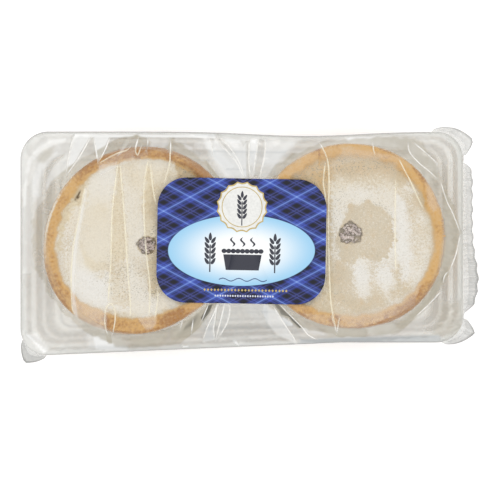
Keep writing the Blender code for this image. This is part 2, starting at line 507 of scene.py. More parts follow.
def make_dusting_group():
    """Fine flour or crumb specks: a mask that follows a coverage value."""
    group = bpy.data.node_groups.new("Dusting", "ShaderNodeTree")
    start, end = add_sockets(
        group,
        [("Place", "NodeSocketVector", None), ("Coverage", "NodeSocketFloat", 0.5),
         ("Grain Scale", "NodeSocketFloat", 1500.0), ("Patch Scale", "NodeSocketFloat", 120.0)],
        [("Mask", "NodeSocketFloat"), ("Grain", "NodeSocketFloat")],
    )
    w = Wiring(group)
    fine = w.noise(start.outputs["Place"], start.outputs["Grain Scale"], 2.0, 0.5)
    broad = w.noise(start.outputs["Place"], start.outputs["Patch Scale"], 4.0, 0.5)
    speckle = w.math("MULTIPLY_ADD", fine, 0.8, w.math("MULTIPLY", broad, 0.2))
    level = w.math("SUBTRACT", 1.0, start.outputs["Coverage"])
    low = w.math("MULTIPLY_ADD", level, 0.62, 0.26)
    specks = w.spread(w.math("SUBTRACT", speckle, low), -0.09, 0.15)
    even = w.math("MULTIPLY", start.outputs["Coverage"], 0.4)
    mask = w.math("MULTIPLY_ADD", specks, 0.6, even, clamp=True)
    w.join(mask, end.inputs["Mask"])
    w.join(fine, end.inputs["Grain"])
    return group


def make_grain_group():
    """Uneven surface height: broad swells and fine grain in one value."""
    group = bpy.data.node_groups.new("Baked grain", "ShaderNodeTree")
    start, end = add_sockets(
        group,
        [("Place", "NodeSocketVector", None), ("Coarse Scale", "NodeSocketFloat", 180.0),
         ("Fine Scale", "NodeSocketFloat", 900.0), ("Fine Share", "NodeSocketFloat", 0.4)],
        [("Height", "NodeSocketFloat"), ("Tone", "NodeSocketFloat")],
    )
    w = Wiring(group)
    coarse = w.noise(start.outputs["Place"], start.outputs["Coarse Scale"], 5.0, 0.5)
    fine = w.noise(start.outputs["Place"], start.outputs["Fine Scale"], 3.0, 0.5)
    w.join(w.math("MULTIPLY_ADD", fine, start.outputs["Fine Share"], coarse), end.inputs["Height"])
    w.join(coarse, end.inputs["Tone"])
    return group


DUSTING = make_dusting_group()
GRAIN = make_grain_group()


def new_material(name, roughness, **constants):
    """A material whose Principled shader takes its constant values on its own sockets."""
    material = bpy.data.materials.new(name)
    material.use_nodes = True
    shader = material.node_tree.nodes["Principled BSDF"]
    shader.inputs["Roughness"].default_value = roughness
    for key, value in constants.items():
        shader.inputs[key.replace("_", " ")].default_value = value
    return material, shader, Wiring(material.node_tree)


SHADOW_SHARE = 0.3
THROUGH_FILM = (0.99, 0.99, 0.985, 1.0)
THROUGH_TRAY = (0.975, 0.975, 0.965, 1.0)


def clear_over(material, shader, w, opacity, through=THROUGH_FILM):
    """Lets light through where the opacity is low; most of what the sheet stops is scattered onward."""
    ray = w.node("ShaderNodeLightPath")
    lighting = w.math("MAXIMUM", ray.outputs["Is Shadow Ray"], ray.outputs["Is Diffuse Ray"])
    opacity = w.math("MULTIPLY", opacity, w.math("MULTIPLY_ADD", lighting, SHADOW_SHARE - 1.0, 1.0))
    clear = w.node("ShaderNodeBsdfTransparent")
    clear.inputs["Color"].default_value = through
    blend = w.node("ShaderNodeMixShader")
    w.feed(blend.inputs[0], opacity)
    w.join(clear.outputs[0], blend.inputs[1])
    w.join(shader.outputs[0], blend.inputs[2])
    output = next(n for n in material.node_tree.nodes if n.type == "OUTPUT_MATERIAL")
    w.join(blend.outputs[0], output.inputs["Surface"])


def bump(w, shader, height, strength, distance):
    made = w.node("ShaderNodeBump")
    made.inputs["Strength"].default_value = strength
    made.inputs["Distance"].default_value = distance
    w.join(height, made.inputs["Height"])
    w.join(made.outputs[0], shader.inputs["Normal"])


def finish_film():
    """Clear wrap: nearly invisible flat on, whitened by painted sheen where it would catch the overhead
    light, with painted shade round the pies, in deep folds and between the pies, and grey painted shade at
    its edges and seals.
    """
    material, shader, w = new_material("Clear film", 0.16, Specular_IOR_Level=0.9)
    place = w.place()
    veil = w.value_of("veil")
    shadowed = w.value_of("shadowed")
    glow = w.mix(veil, paint("thin film"), paint("film sheen and haze"))
    glow = w.mix(w.math("MULTIPLY", shadowed, 2.0, clamp=True), glow, paint("shadowed film"))
    glow = w.mix(w.spread(shadowed, 0.8, 1.3), glow, paint("deep fold shade"))
    glow = w.mix(w.value_of("cool_shade"), glow, paint("bluish-grey shade"))
    w.join(w.mix(w.value_of("shade"), glow, paint("film edge shade")), shader.inputs["Base Color"])
    facing = w.node("ShaderNodeLayerWeight")
    facing.inputs["Blend"].default_value = 0.28
    edge = w.math("MULTIPLY", facing.outputs["Facing"], 0.45)
    opacity = w.math("ADD", w.math("ADD", veil, shadowed), edge, clamp=True)
    bump(w, shader, w.noise(place, 420.0, 3.0), 0.12, 0.0004)
    clear_over(material, shader, w, opacity)
    return material


def finish_crease():
    """The bright line along a fold in the film, a painted highlight."""
    material, shader, w = new_material("Film crease highlight", 0.12, Specular_IOR_Level=1.0)
    line = w.mix(w.value_of("warmth"), paint("crease"), paint("crease highlight over a pie"))
    w.join(line, shader.inputs["Base Color"])
    streak = w.noise(w.place(), 160.0, 3.0)
    opacity = w.math("MULTIPLY", w.value_of("veil"), w.spread(streak, 0.3, 0.62, 0.45, 1.0), clamp=True)
    clear_over(material, shader, w, opacity)
    return material


def finish_tray():
    """Clear moulded sheet: greyer on its walls than on its ledges as painted shade, with painted highlights
    on its bends.
    """
    material, shader, w = new_material("Clear moulded sheet", 0.12, Specular_IOR_Level=0.8)
    place = w.place()
    band = w.value_of("band")
    edge = w.value_of("edge")
    sheet = w.mix(band, paint("tray ledge"), paint("tray wall shade"))
    w.join(w.mix(edge, sheet, paint("tray bend highlight")), shader.inputs["Base Color"])
    facing = w.node("ShaderNodeLayerWeight")
    facing.inputs["Blend"].default_value = 0.3
    base = w.math("MULTIPLY_ADD", band, 0.24, 0.12)
    base = w.math("MULTIPLY_ADD", edge, 0.18, base)
    opacity = w.math("MULTIPLY_ADD", facing.outputs["Facing"], 0.2, base, clamp=True)
    bump(w, shader, w.noise(place, 200.0, 2.0), 0.04, 0.0004)
    clear_over(material, shader, w, opacity, THROUGH_TRAY)
    return material


def finish_crust():
    """Baked pastry, floured on the lid and golden on the rim."""
    material, shader, w = new_material("Floured pastry", 0.62, Specular_IOR_Level=0.3)
    place = w.place()
    grain = w.group(GRAIN, Place=place, Coarse_Scale=640.0, Fine_Scale=1700.0, Fine_Share=0.5)
    mottle = w.spread(grain["Tone"], 0.3, 0.7, -0.15, 0.15)
    bake = w.math("MULTIPLY_ADD", w.value_of("bake"), mottle, w.value_of("bake"), clamp=True)
    baked = w.mix(w.spread(bake, 0.0, 0.55), paint("pale crust"), paint("gold crust"))
    baked = w.mix(w.spread(bake, 0.55, 1.0), baked, paint("brown crust"))
    dust = w.group(DUSTING, Place=place, Coverage=w.value_of("flour"), Grain_Scale=2100.0,
                   Patch_Scale=150.0)
    dusting = w.mix(w.value_of("cream"), paint("flour"), paint("creamy flour"))
    floured = w.mix(w.math("MULTIPLY", dust["Mask"], 0.98), baked, dusting)
    speck = w.spread(w.noise(place, 1500.0, 3.0), 0.55, 0.66)
    speck = w.math("MULTIPLY", speck, w.value_of("specks"))
    floured = w.mix(speck, floured, paint("crumb speck"))
    # Painted shade in the split on the left rim and round the steam hole's edge
    crack = w.mix(w.value_of("crack"), floured, paint("crack"))
    w.join(crack, shader.inputs["Base Color"])
    height = w.math("MULTIPLY_ADD", dust["Grain"], 0.3, grain["Height"])
    bump(w, shader, height, 0.45, 0.0009)
    return material


def finish_filling():
    """Cooked mince seen through the steam hole: grey-brown, moist and crumbly."""
    material, shader, w = new_material("Cooked filling", 0.45, Specular_IOR_Level=0.5, Coat_Weight=0.15)
    place = w.place()
    grain = w.group(GRAIN, Place=place, Coarse_Scale=420.0, Fine_Scale=1600.0, Fine_Share=0.5)
    meat = w.mix(w.spread(grain["Tone"], 0.35, 0.65), paint("dark mince"), paint("pale mince"))
    fat = w.spread(w.noise(place, 760.0, 2.0), 0.56, 0.68)
    w.join(w.mix(w.math("MULTIPLY", fat, 0.7), meat, paint("fat")), shader.inputs["Base Color"])
    bump(w, shader, grain["Height"], 0.6, 0.0008)
    return material


# The tray, film, pies and label as meshes

def rounded_profile(points, radius, steps):
    """A profile of (inset, height) with each inner corner turned as a small curve."""
    made = [points[0]]
    for before, corner, after in zip(points, points[1:], points[2:]):
        legs = []
        for other in (before, after):
            dx = other[0] - corner[0]
            dy = other[1] - corner[1]
            length = math.hypot(dx, dy)
            cut = min(radius, 0.45 * length) / length
            legs.append((corner[0] + dx * cut, corner[1] + dy * cut))
        for i in range(steps + 1):
            t = i / steps
            a, b, c = (1.0 - t) ** 2, 2.0 * t * (1.0 - t), t * t
            made.append(tuple(a * legs[0][k] + b * corner[k] + c * legs[1][k] for k in (0, 1)))
    made.append(points[-1])
    return made


# The tray's wall from its lip to its floor: inset from the flange's edge, and height
TRAY_PROFILE = [(0.6, 25.6), (0.6, 27.4), (2.4, 27.4), (3.3, 21.0), (5.4, 20.2), (6.5, 10.8), (8.0, 10.0),
                (9.4, 2.2), (10.8, TRAY_FLOOR), (13.5, TRAY_FLOOR)]
TRAY_BEND_RADIUS = 0.7
TRAY_BEND_STEPS = 3
TRAY_SHEET = 0.35
# How strongly bends get painted highlights, on the floor and at the lip too, and how grey the flange's
# painted shade is
BEND_HIGHLIGHT = 2.4
FLOOR_HIGHLIGHT = 0.6
FLANGE_SHADE = 1.6
LIP_HIGHLIGHT = 0.25
TRAY_END_STRETCH = 1.35
TRAY_CORNER_OUTER = 13.6
TRAY_CORNER_INNER = 6.0
WELL_RADIUS = 47.0
WELL_EASE = 2.6
RIDGE_HALF_LENGTH = 34.5
RIDGE_HEIGHT = 6.5


def make_tray(material):
    """The moulded tray: a stepped wall, and a floor with a ridge between its wells."""
    profile = rounded_profile(TRAY_PROFILE, TRAY_BEND_RADIUS, TRAY_BEND_STEPS)
    lip_end, ledge_end = TRAY_PROFILE[2][0], TRAY_PROFILE[3][0]
    deepest = profile[-1][0]
    rings, bands, edges = [], [], []
    steep_before = 0.0
    for (inset, height), (next_inset, next_height) in zip(profile, profile[1:] + profile[-1:]):
        share = inset / deepest
        radius = TRAY_CORNER_OUTER + (TRAY_CORNER_INNER - TRAY_CORNER_OUTER) * share
        x, y = pack_outline(inset * TRAY_END_STRETCH, inset, radius)
        rings.append(np.column_stack([x, y, np.full(x.shape, height)]))
        run = math.hypot(next_inset - inset, next_height - height)
        steep = abs(next_height - height) / run if run > 0.0 else 0.0
        # Painted shade greys the steep walls and the flange; a painted highlight brightens each bend where
        # the wall turns steeper
        bands.append(np.full(x.shape, FLANGE_SHADE if inset < lip_end - 0.3 else steep))
        lip_share = LIP_HIGHLIGHT if inset < ledge_end else 1.0
        bend = min(max(BEND_HIGHLIGHT * (steep - steep_before), 0.0), 1.0)
        edges.append(np.full(x.shape, lip_share * bend))
        steep_before = steep
    faces = grid_quads(len(rings), len(rings[0]), wrap=True)[:, ::-1].tolist()
    floor_points, floor_faces, floor_bands = tray_floor(rings[-1], len(rings) * len(rings[0]))
    values = {"band": np.concatenate(bands + [floor_bands]),
              "edge": np.concatenate(edges + [FLOOR_HIGHLIGHT * floor_bands])}
    piece = make_piece("tray", np.concatenate(rings + [floor_points]), faces + floor_faces, material, values,
                       sharp_deg=50.0)
    weld_sheet(piece, 0.02, TRAY_SHEET, -1.0)


def tray_floor(ring, first):
    """The floor inside the last ring, as a grid with a ridge and two ringed wells."""
    columns_count = 2 * RING_CORNER_STEPS + RING_MIDDLE_STEPS + 1
    front = ring[:columns_count]
    back = ring[columns_count + RING_ROWS - 1:2 * columns_count + RING_ROWS - 1][::-1]
    share = np.linspace(0.0, 1.0, RING_ROWS + 1)[:, None]
    x = front[:, 0][None, :] + (back[:, 0] - front[:, 0])[None, :] * share
    y = front[:, 1][None, :] + (back[:, 1] - front[:, 1])[None, :] * share
    from_left, _ = polar(x, y, LEFT_PIE)
    from_right, _ = polar(x, y, RIGHT_PIE)
    between = smooth_step(WELL_RADIUS, WELL_RADIUS + WELL_EASE, np.minimum(from_left, from_right))
    across = between * (x > LEFT_PIE[0]) * (x < RIGHT_PIE[0])
    along = 1.0 - smooth_step(RIDGE_HALF_LENGTH - 1.0, RIDGE_HALF_LENGTH + 1.0, np.abs(y))
    z = TRAY_FLOOR + RIDGE_HEIGHT * across * along
    # Painted shade on the ridge's slopes, which also get a weaker painted highlight
    band = 4.0 * across * (1.0 - across) + 4.0 * along * (1.0 - along) * across
    faces = grid_quads(RING_ROWS + 1, columns_count, first=first).tolist()
    return stacked(x, y, z), faces, np.clip(band, 0.0, 1.0).ravel()


# Pleats and glare in the film, as pixels of the photograph at the rims' height

PLEATS = {
    "left pie, first pleat, left edge": [(118.4, 161), (112.4, 209), (110.9, 260), (107.9, 303)],
    "left pie, first pleat, right edge": [(119.9, 162), (124.4, 218), (127.4, 267), (130.4, 305),
        (129.6, 318)],
    "left pie, second pleat, left edge": [(148.4, 158), (143.9, 188), (144.6, 230), (147, 260),
        (149.9, 287), (149.1, 317)],
    "left pie, second pleat, right edge": [(149.9, 161), (152.9, 188), (156.0, 205)],
    "left pie, second pleat, lower right edge": [(158.0, 288), (157.4, 302), (154.4, 320)],
    "left pie, long curve": [(85.4, 185), (79.4, 215), (73.5, 245), (71.2, 275), (72, 305), (75, 316)],
    "left pie, loop": [(109, 337), (105.8, 329), (104.6, 318), (106.3, 308), (110.5, 303.4), (114, 308),
        (115.2, 318), (113.4, 330), (111.5, 337)],
    "left pie, top crease": [(170.8, 139), (170.1, 155), (169.3, 165), (163.4, 186)],
    "left pie, top zigzag": [(139, 135), (135.5, 149), (137.5, 155), (141, 147), (143, 144.5)],
    "left pie, top short line": [(147.5, 135), (147.8, 142), (146.8, 147)],
    "left pie, rim crease": [(98, 164), (108, 158), (118, 153), (127, 150), (131, 146)],
    "right pie, crease by the label": [(318.5, 140), (328.4, 166), (328.4, 227), (330, 288), (332.2, 311),
        (336.8, 334)],
    "right pie, label side line": [(325.5, 160), (323.4, 182), (325.5, 200), (326.4, 250), (324.4, 290)],
    "right pie, middle line": [(395.8, 178), (395, 227), (395.8, 273)],
    "right pie, lens inner edge": [(398, 157), (404, 169), (410.3, 181), (417.5, 197), (424.1, 210)],
    "right pie, lower left slit": [(331, 314), (334, 325)],
    "right pie, lower right slit": [(340, 314), (336.5, 335)],
    "right end, fold line": [(440.5, 181), (446, 199), (453, 214), (460.5, 233)],
    "right end, lower fold line": [(460.5, 233), (456, 254), (450, 270)],
    "right end, hooked line": [(450, 270), (444.5, 276), (443, 285)],
    "right end, diagonal line": [(442, 290), (430, 303), (414, 318)],
    "gap, back fold 1": [(216, 136.6), (224, 148), (232.5, 157), (238, 165), (241, 172), (244, 178.4)],
    "gap, back fold 2": [(216.6, 136), (225, 141.4), (233, 152), (239, 162), (242.5, 171), (245, 178)],
    "gap, back fold 3": [(249.3, 139), (248.9, 160), (250, 178)],
    "gap, back fold 4": [(262, 136.6), (265.5, 143), (263.8, 160), (259.4, 178)],
    "gap, back fold 5": [(258.4, 140), (255.2, 160), (252.6, 178)],
    "gap, back fold 6": [(210, 137), (212, 148), (212.6, 156)],
    "gap, front fold 1": [(219, 302), (214, 313), (207, 328), (202.4, 342)],
    "gap, front fold 2": [(217, 302), (215.4, 315), (213.4, 330), (215.4, 339.6)],
    "gap, front fold 3": [(225, 301), (222, 315), (218, 330), (216, 340)],
    "gap, front fold 4": [(230, 302), (229.4, 314), (226, 325), (217.6, 338.6)],
    "gap, front fold 5": [(209.6, 302), (204.6, 313), (201, 323)],
    "gap, front fold 6": [(272.6, 305), (280.6, 318), (290.4, 333), (297.6, 344.4)],
    "gap, front fold 7": [(278.4, 303), (290, 315), (302, 327), (308.6, 335), (319, 340.4)],
    "gap, front fold 8": [(183.4, 318), (179.4, 331)],
    "gap, front fold 9": [(193.4, 316), (191, 335)],
    "top left glare edge 1": [(73, 137), (69, 155), (66, 176)],
    "top left glare edge 2": [(91, 136), (80, 156), (66, 176)],
    "top left glare edge 3": [(93.5, 137), (96, 150), (98, 163)],
    "top left glare edge 4": [(110, 136), (105, 150), (98, 163)],
    "top right glare edge 1": [(408, 141), (409.6, 152), (419, 163), (430, 172), (439, 181)],
    "top right glare edge 2": [(412, 141), (424, 151.4), (436, 162.4), (438.6, 166)],
    "top right fold": [(373, 140), (373.6, 150), (376, 157)],
}
CREASE_WIDTH = 0.62
# The creases' painted highlights: how strong, and how much dimmer over a pie
CREASE_VEIL = 0.85
CREASE_SOFTER = 0.36
CREASE_HEIGHT = 0.16
CREASE_SPACING = 0.8
CREASE_TAPER_STEPS = 4.0
CREASE_SECTION = ((-0.5, 0.0), (0.0, 1.0), (0.5, 0.0), (0.0, -0.25))


def smooth_path(points, spacing):
    """A curve through given points, cut at an even spacing."""
    points = np.asarray(points, dtype=float)
    padded = np.vstack([2 * points[0] - points[1], points, 2 * points[-1] - points[-2]])
    made = []
    for p0, p1, p2, p3 in zip(padded, padded[1:], padded[2:], padded[3:]):
        count = max(int(np.hypot(*(p2 - p1)) / spacing), 1)
        for i in range(count):
            t = i / count
            made.append(0.5 * (2 * p1 + (p2 - p0) * t + (2 * p0 - 5 * p1 + 4 * p2 - p3) * t ** 2
                               + (3 * p1 - p0 - 3 * p2 + p3) * t ** 3))
    made.append(points[-1])
    return np.array(made)


def line_distance(x, y, a, b):
    """The way from each point to the straight line between two points."""
    dx, dy = b[0] - a[0], b[1] - a[1]
    t = np.clip(((x - a[0]) * dx + (y - a[1]) * dy) / (dx * dx + dy * dy), 0.0, 1.0)
    return np.hypot(x - a[0] - t * dx, y - a[1] - t * dy)


def fold_distance(x, y, path):
    """The way from each point to the nearest place of a path."""
    nearest = np.full(x.shape, 1e9)
    for a, b in zip(path, path[1:]):
        nearest = np.minimum(nearest, line_distance(x, y, a, b))
    return nearest


def inside_share(x, y, polygon, softness):
    """1 inside a polygon and 0 outside it, with a soft border."""
    nearest = fold_distance(x, y, np.concatenate([polygon, polygon[:1]]))
    inside = np.zeros(x.shape, dtype=bool)
    for (ax, ay), (bx, by) in zip(polygon, np.roll(polygon, -1, axis=0)):
        crosses = (ay > y) != (by > y)
        at = ax + (y - ay) * (bx - ax) / (by - ay if by != ay else 1e-9)
        inside ^= crosses & (x < at)
    signed = np.where(inside, nearest, -nearest)
    return smooth_step(-softness, softness, signed)


# How much painted sheen of the overhead light the film shows, and how much painted shade next to the pies
OUTER_VEIL = 0.40
OUTER_STREAKS = 0.09
RIGHT_END_DROP = 0.29
NEAR_VEIL = 0.04
NEAR_STREAKS = 0.02
NEAR_SHADE = 0.38
SHADE_STREAKS = 0.08
LID_VEIL = 0.035
LID_STREAKS = 0.3
OLIVE_SOFTNESS = 0.6
COOL_SHADE_VEIL = 0.22
HIGHEST_VEIL = 0.95
HIGHEST_SHADE = 1.3

# Each veil: how strongly the film whitens inside an outline, as painted sheen and highlights (below 0 it
# darkens, as painted shade), how soft its border is, the outline in pixels
VEILS = [
    ("left pie, from the long curve to the first pleat", 0.17, 0.3,
     [(84, 190), (79, 215), (73.5, 245), (71.2, 275), (72, 305), (75, 317), (92, 330), (106, 334),
      (108, 303), (111, 260), (112, 209), (118, 161), (100, 165)]),
    ("left pie, band beside the long curve", 0.3, 0.5,
     [(85, 186), (79, 215), (73.3, 245), (71, 275), (71.6, 305), (75, 317), (78, 317), (75, 300),
      (74.8, 275), (77.4, 245), (83, 215), (87.6, 190)]),
    ("left pie, between the pleats", 0.1, 0.3,
     [(120, 162), (124.4, 218), (127.4, 267), (130.4, 318), (149, 317), (147, 260), (144.6, 230),
      (144, 188), (148.4, 150)]),
    ("left pie, lower left rim", 0.1, 3.0,
     [(71, 300), (75, 318), (90, 330), (105, 336), (105, 318), (108, 308)]),
    ("left pie, bottom lobes", 0.22, 0.5,
     [(137, 318), (142, 325), (147, 330), (152, 329), (156, 324), (158, 300), (150, 296), (149, 312)]),
    ("left pie, top rim", 0.16, 0.5,
     [(98, 164), (118, 153.5), (127, 150), (136, 149), (134, 160), (118, 166), (100, 176)]),
    ("top glint 1", 0.26, 0.5, [(172, 140), (182, 143), (192, 147), (193, 149), (189, 150), (180, 147)]),
    ("top glint 2", 0.2, 0.6, [(195, 142), (214, 141), (216, 149), (197, 149), (194, 146)]),
    ("top pale fold", 0.1, 0.6, [(150, 135), (167, 135), (167, 145), (151, 147)]),
    ("top left glare 1", 0.45, 0.4, [(73, 136), (91, 135), (66, 176)]),
    ("top left glare 2", 0.45, 0.4, [(93.5, 136), (110, 135), (98, 163)]),
    ("top left glare 3", 0.35, 0.4, [(126, 140), (131, 138), (122, 153), (117, 156)]),
    ("top strip", 0.8, 0.35, [(75, 134.2), (215, 134.7), (215, 137.6), (75, 137.2)]),
    ("bottom right strip", 0.26, 0.8, [(300, 339), (440, 335), (440, 343), (300, 346)]),
    ("left pie, ring at the upper right", 0.26, 1.0,
     [(176, 147), (190, 152), (202, 160), (198, 163), (186, 156), (176, 151)]),
    ("left pie, glare below", 0.36, 1.0,
     [(93, 334), (106, 337), (110, 338), (126, 341), (128, 350), (96, 349)]),
    ("right pie, ring at the top", 0.22, 0.8,
     [(283, 164), (292, 155), (310, 148), (330, 141), (350, 138), (400, 137), (420, 141), (426, 156),
      (410, 152), (395, 147), (370, 143.5), (345, 143), (325, 147), (305, 155), (290, 165)]),
    ("right pie, glare below", 0.5, 1.0, [(366, 328), (392, 323), (402, 329), (390, 335), (368, 334)]),
    ("right pie, ring at the top right", 0.28, 1.0,
     [(350, 138), (400, 137), (420, 141), (426, 156), (410, 152), (395, 147), (370, 143.5)]),
    ("right pie, pale place below left", 0.34, 1.0,
     [(298, 319), (312, 327), (324, 334), (308, 333), (300, 327)]),
    ("top right corner", 0.24, 2.0,
     [(418, 136), (446, 130), (454, 150), (448, 172), (440, 160), (428, 150)]),
    ("top left, doubled film", 0.2, 0.8,
     [(18, 197), (19, 165), (23, 148), (34, 137), (60, 133), (72, 134), (66, 172), (48, 186), (42, 197)]),
    ("left end, doubled film", 0.2, 0.4,
     [(22.6, 197), (31.5, 197), (31, 225), (31.5, 273.5), (22.6, 273.5)]),
    ("top left, outer arc", 0.16, 0.7,
     [(23, 206), (24, 176), (28, 159), (38, 147), (52, 140), (66, 138), (66, 142), (54, 145), (42, 151),
      (32, 162), (27, 178), (26, 206)]),
    ("top left, inner arc", 0.22, 0.9,
     [(32, 204), (33, 180), (38, 165), (45, 156), (58, 151), (58, 154), (48, 161), (42, 170), (39, 183),
      (38, 200)]),
    ("top left, grey arc", -0.36, 0.8,
     [(41, 197), (42, 178), (46, 168), (54, 159), (64, 154), (64, 157), (56, 163), (50, 171), (46, 181),
      (45, 194)]),
    ("bottom left ear root", 0.16, 1.0,
     [(22, 330), (27, 331), (33, 345), (46, 352.5), (64, 353), (62, 358), (26, 360)]),
    ("bottom left glare", 0.3, 0.7, [(26.2, 334.7), (36.2, 333), (49, 349.4), (44.4, 353.5), (36, 348)]),
    ("bottom left glare, bright edge", 0.25, 0.4,
     [(26.2, 334.7), (28.4, 334.2), (46, 351.2), (44.4, 353.5)]),
    ("bottom left patch", 0.26, 1.5, [(86, 330), (98, 327), (110, 334), (118, 346), (100, 351), (88, 348)]),
    ("bottom glare", 0.28, 1.0, [(112, 337), (120, 335), (128, 352), (104, 352)]),
    ("gap, behind", 0.44, 2.0, [(204, 138), (300, 139), (282, 158), (266, 178), (226, 178), (210, 156)]),
    ("gap, by the label", -0.28, 1.5, [(248, 165), (272, 165), (266, 180), (248, 180)]),
    ("gap, grey band 1", -0.3, 0.3, [(245.6, 141), (249.2, 141), (249.8, 178), (246.4, 178)]),
    ("gap, grey band 2", -0.3, 0.3,
     [(259.5, 139), (265.5, 141), (264.5, 152), (259.5, 178), (253.5, 178), (256, 160)]),
    ("gap, grey diagonal", -0.26, 0.3, [(216.5, 139.5), (219.2, 138), (233.6, 151), (231.4, 153)]),
    ("gap, grey notch", -0.22, 0.3, [(210, 138), (214, 138), (215, 147), (212.6, 149.4)]),
    ("gap, grey wedge", -0.22, 0.3, [(240, 141), (247, 141.5), (243.4, 146.5)]),
    ("gap, pale streak", 0.22, 1.2, [(211, 150), (216, 151), (233, 166), (228, 170), (216, 160)]),
    ("gap, pale top strip", 0.2, 0.6, [(218, 136), (240, 140), (240, 143), (226, 141)]),
    ("gap, pale knot", 0.2, 0.8, [(251, 139), (257, 139), (257, 150), (254, 158), (251, 150)]),
    ("gap, in front", -0.08, 2.0, [(214, 306), (272, 306), (296, 342), (216, 346), (205, 340)]),
    ("gap, front glare", 0.4, 0.7,
     [(264, 304), (272, 305), (281, 318), (290, 333), (297.6, 344.4), (286, 339), (276, 334.5), (268, 324),
      (262, 312)]),
    ("gap, front glare, left part", 0.14, 2.0, [(240, 303), (264, 304), (270, 328), (254, 322)]),
    ("gap, dark wedge", -0.34, 0.4,
     [(273, 304.5), (279, 305.5), (295, 321), (303, 329), (297, 327), (284, 316.5)]),
    ("gap, leaf in the wedge", 0.5, 0.5,
     [(281.6, 317), (286, 319), (293, 323), (292, 326), (287, 326), (283, 321)]),
    ("gap, left pale fold", 0.36, 0.4,
     [(215.6, 313), (213.4, 330), (215.2, 339.6), (203, 342.4), (207, 330)]),
    ("gap, middle pale fold", 0.16, 0.4,
     [(223, 302), (230, 303), (229.6, 314), (226, 325), (217.6, 339), (219, 328)]),
    ("gap, brown wedge", -0.22, 0.4, [(207, 305), (213.6, 303.6), (210, 315), (203, 323), (203.6, 316)]),
    ("gap, glint", 0.55, 0.3, [(232.5, 340.4), (236.5, 341), (239.8, 346.4), (235, 343.6)]),
    ("gap, small glint", 0.5, 0.3, [(182, 345.6), (188, 346.2), (188, 347.6), (183, 347.4)]),
    ("right pie, middle", 0.1, 1.2,
     [(330, 166), (345, 148), (398, 157), (395, 227), (396, 273), (398, 318), (352, 327), (334, 314)]),
    ("right pie, lower rim", 0.13, 0.3,
     [(302, 313), (322, 315), (352, 314), (385, 306), (408, 292), (421.3, 284), (413.9, 306), (397, 314.6),
      (381, 320.8), (369.7, 325.8), (351, 330), (330, 330), (312, 326)]),
    ("right pie, right side", 0.05, 1.5,
     [(398, 157), (410, 181), (424, 210), (440, 240), (428, 268), (413, 300), (398, 318)]),
    ("right pie, top left rim", 0.09, 0.8,
     [(282, 174), (300, 156), (320, 148), (345, 145), (398, 157), (350, 162), (300, 178)]),
    ("right pie, right rim", 0.16, 0.6,
     [(404, 152), (414, 158), (427, 172), (436, 190), (440, 206), (434, 212), (427.5, 204), (426.5, 184),
      (419.5, 171), (409.5, 162)]),
    ("top right glare", 0.22, 0.6,
     [(408, 140.6), (412, 141), (438.4, 164), (439.5, 183), (419, 168), (409.4, 152)]),
    ("top right glare, bright side", 0.32, 0.4,
     [(408, 140.6), (412, 141), (438.4, 164), (438, 173), (419, 160.5), (409, 149)]),
    ("top middle right patch", 0.24, 1.0, [(345, 137), (392, 136), (397, 150), (380, 146), (350, 143)]),
]

# The rings of painted shade on the film round the two pies, as outlines in pixels
OLIVE_ZONES = [
    [(94.7, 152), (82.8, 157), (64.4, 169.7), (50.9, 182), (44, 199.6), (38, 207), (32, 220.7), (33, 228),
     (32.2, 248), (35, 265), (39, 277), (45.4, 287), (52.2, 299), (60.5, 310), (70.9, 319), (78, 327),
     (84, 331), (100, 340), (122, 348), (150, 348), (180, 344), (196, 330), (217, 305), (222, 240),
     (222, 180), (208, 166), (200, 158), (190, 149), (176, 141), (172, 138), (168, 146), (151, 148),
     (147, 137), (136, 135), (120, 137)],
    [(264, 180), (275.6, 164.4), (283, 162), (291, 153.7), (297, 154), (309.3, 147.6), (321.5, 142),
     (350, 139), (393, 137), (420, 140), (441, 172), (452, 200), (462, 233), (453, 262), (442.5, 284),
     (428.7, 304), (413, 320), (398, 334), (352, 337), (310, 330), (285, 318), (262, 300), (258, 240)],
]

